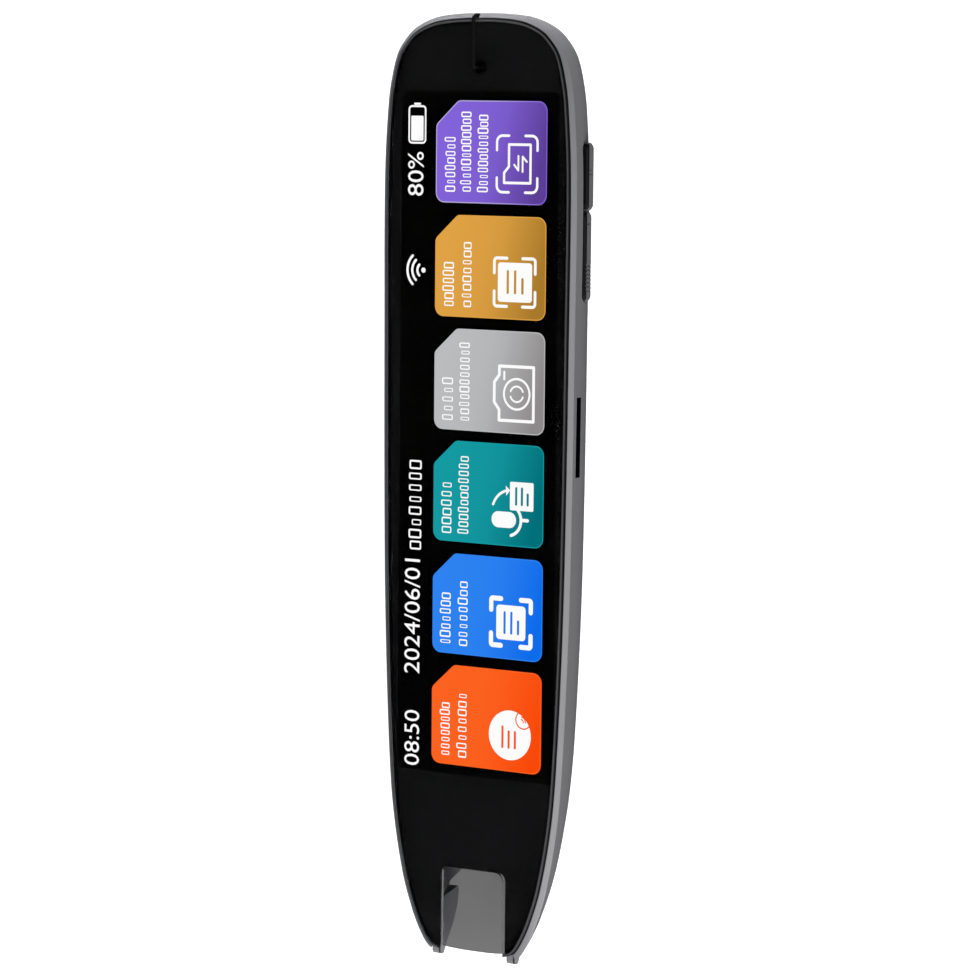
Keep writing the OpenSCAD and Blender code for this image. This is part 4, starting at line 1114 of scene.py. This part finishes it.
def picture():
    """Tiles with their rims, icons, figures and rows of blocks."""
    tint = {}
    for name, top, left, right in TILES:
        tint[name] = lit(f"tile_{name}", left, right, *TILE_X, top - TILE_H / 2, 0.25)
        edge = lit(f"edge_{name}", "B9B4D8" if name == "violet" else left, left, *TILE_X)
        outline = tile_loop(top)
        tile = Drawing(f"tile_{name}", TILE)
        tile.loop(outline)
        tile.made(tint[name])
        rim = Drawing(f"tile_rim_{name}", RIM)
        rim.band(outline, inset(outline, 0.16))
        rim.made(edge)
    white = lit("lit_white", "FFFFFF", "FCFCFC", -20, 20)
    white_marks(white)
    for name, (width, rows) in PAGE_LINES.items():
        part = Drawing("picture_dark" if name == "gold" else f"picture_{name}", DARK)
        for x, y0, y1 in rows:
            part.stroke([(x, y0), (x, y1)], width)
        if name == "orange":
            # badge on the disc
            part.arc(9.0, -36.5, 1.45, 0.22, 0, 360, 28)
            part.arc(8.5, -36.9, 0.9, 0.2, 0, 80, 6)
            part.arc(8.5, -36.9, 0.5, 0.2, 0, 80, 6)
        part.made(tint[name])
    figures("figures_charge", "80%", -11.3, 47.3, 54.4, white)
    figures("figures_clock", "08:50", -11.35, -45.9, -36.8, white)
    figures("figures_date", "2024/06/01", -11.4, -30.7, -11.9, white)
    labels(white)


# ---- Moving and small pieces ----
def copied(node, name):
    """Copy of a CAD node's mesh as a new piece."""
    return linked(name, frame["nodes"][node].data.copy())


def softened(node, width, material, tools=()):
    """Copy of a CAD node with its edges eased and tools cut in."""
    thing = copied(node, f"{node}_form")
    with editing(thing.data) as bm:
        bmesh.ops.remove_doubles(bm, verts=bm.verts, dist=1e-6)
        bmesh.ops.dissolve_limit(bm, angle_limit=math.radians(0.8), verts=bm.verts, edges=bm.edges)
    bevelled(thing, width, 28)
    if tools:
        cut_with(thing, tools)
    shaded(thing, 35)
    finished(thing, material, node)


def toe_lines():
    """Tools for the parting line round each toe."""
    toe = [(1.6, 12), (1.6, 3.2), (-0.5, 2.07), (-0.62, 1.75), (-0.5, 1.42), (-0.2, 0.2), (1.6, 0.2),
           (1.6, -2), (-6, -2), (-6, 12)]
    loop = [(yv(v), zd(d)) for v, d in toe]
    return [prism("tool", loop, "x", x - TOE_LINE_HALF, x + TOE_LINE_HALF) for x in TOE_LINES]


def springs():
    """The shoe's two springs: a copy of the CAD node with smooth shading."""
    thing = copied("shoe_springs", "shoe_coils")
    smooth_by_angle(thing, 40)
    finished(thing, STEEL, "shoe_springs")
    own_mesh(thing)


def strand_tree():
    """Tree for three strands twisted along a closed route in a lengthways plane."""
    t = Pattern("twisted_cord", Points="Int", Turns="Float", Lay="Float", Strand="Float")
    given = t.given
    route = t.add("GeometryNodeMeshToCurve", {"Mesh": given["Geometry"]}).outputs["Curve"]
    eased = t.add("GeometryNodeCurveSplineType", {"Curve": route}, spline_type="CATMULL_ROM").outputs["Curve"]
    even = t.add("GeometryNodeResampleCurve", {"Curve": eased, "Count": given["Points"]}).outputs["Curve"]
    along = t.add("GeometryNodeInputTangent").outputs["Tangent"]
    part = t.add("GeometryNodeSplineParameter").outputs["Factor"]
    aside = t.add("ShaderNodeVectorMath", {0: (1.0, 0.0, 0.0), 1: along}, operation="CROSS_PRODUCT").outputs[0]
    section = t.add("GeometryNodeCurvePrimitiveCircle", {"Resolution": 8, "Radius": given["Strand"]})
    gather = t.add("GeometryNodeJoinGeometry")
    turned = t.math("MULTIPLY", t.math("MULTIPLY", part, given["Turns"]), math.tau)
    for k in range(3):
        angle = t.math("ADD", turned, math.tau * k / 3)
        rise = t.math("MULTIPLY", t.math("COSINE", angle), given["Lay"])
        reach = t.math("MULTIPLY", t.math("SINE", angle), given["Lay"])
        side = t.add("ShaderNodeCombineXYZ", {"X": rise}).outputs[0]
        lifted = t.add("ShaderNodeVectorMath", {0: aside, "Scale": reach}, operation="SCALE").outputs[0]
        shift = t.add("ShaderNodeVectorMath", {0: side, 1: lifted}, operation="ADD").outputs[0]
        place = t.add("GeometryNodeSetPosition", {"Geometry": even, "Offset": shift}).outputs[0]
        takes = {"Curve": place, "Profile Curve": section.outputs["Curve"]}
        t.feed(gather.inputs["Geometry"], t.add("GeometryNodeCurveToMesh", takes).outputs["Mesh"])
    return t.ended(gather.outputs["Geometry"])


def lanyard():
    """Twisted cord: up through the hole, over the front and back round the end."""
    up = [(HOLE_Y, z) for z in (1.6, 4, 7, 9.4)] + [(HOLE_Y + 0.15, 10.5), (HOLE_Y + 0.75, 10.82)]
    over = [(y, 10.82) for y in (70.14, 72.64, 74.9)] + [(75.6, 10.8), (76.03, 10.7), (76.29, 10.3), (76.32, 9.6)]
    back = [tuple(end_line(a, CORD_IN)) for a in (0, 12, 24, 36, 48, 60, 70, 78)]
    route = up + over + back + [(HOLE_Y + 1.2, 0.56), (HOLE_Y + 0.42, 0.79)]
    mesh = bpy.data.meshes.new("lanyard_cord")
    count = len(route)
    mesh.from_pydata([Vector((-CORD_LEAN, y, z)) * MM for y, z in route],
                     [(i, (i + 1) % count) for i in range(count)], [])
    thing = linked("lanyard_cord", mesh)
    with_nodes(thing, strand_tree(), Points=420, Turns=24.0, Lay=0.155 * MM, Strand=0.17 * MM, Material=CORD)
    smooth_by_angle(thing, 60)
    finished(thing, CORD, "lanyard_loop")


# CAD nodes that show as they are, by material
NODE_FINISH = (
    (STEEL, "backlight_tray chassis_screws board_screws processor_shield radio_shield charging_port microphone"),
    (CELLS, "display_panel"), (AMBER, "display_flex"), (FRAME_METAL, "chassis"), (POUCH, "battery"),
    (BOARD, "main_board key_board cell_board camera_board lamp_board"), (FOAM, "battery_pad"),
    (BLACK, "memory_chips power_switch function_switch speaker tip_switch camera_module lens_barrel"),
    (NATURAL, "power_plunger function_plunger battery_plug tip_plunger"), (WIRE_RED, "battery_lead"),
    (PIT, "speaker_mesh lanyard_bush"), (LAMP, "lamps"), (SMOKE, "tip_window"),
)


def dress_nodes():
    """Gives the CAD nodes that stay their materials."""
    for material, names in NODE_FINISH:
        for name in names.split():
            data = frame["nodes"][name].data
            data.materials.clear()
            data.materials.append(material)


bpy.context.scene.view_settings.view_transform = "Standard"
place_camera()
place_floor()
place_lights()
dress_nodes()
casing()
bezel()
front_glass()
picture()
softened("scan_shoe", 0.12, SHOE, tools=toe_lines())
softened("power_button", 0.06, KEY)
softened("function_button", 0.06, KEY)
springs()
lanyard()
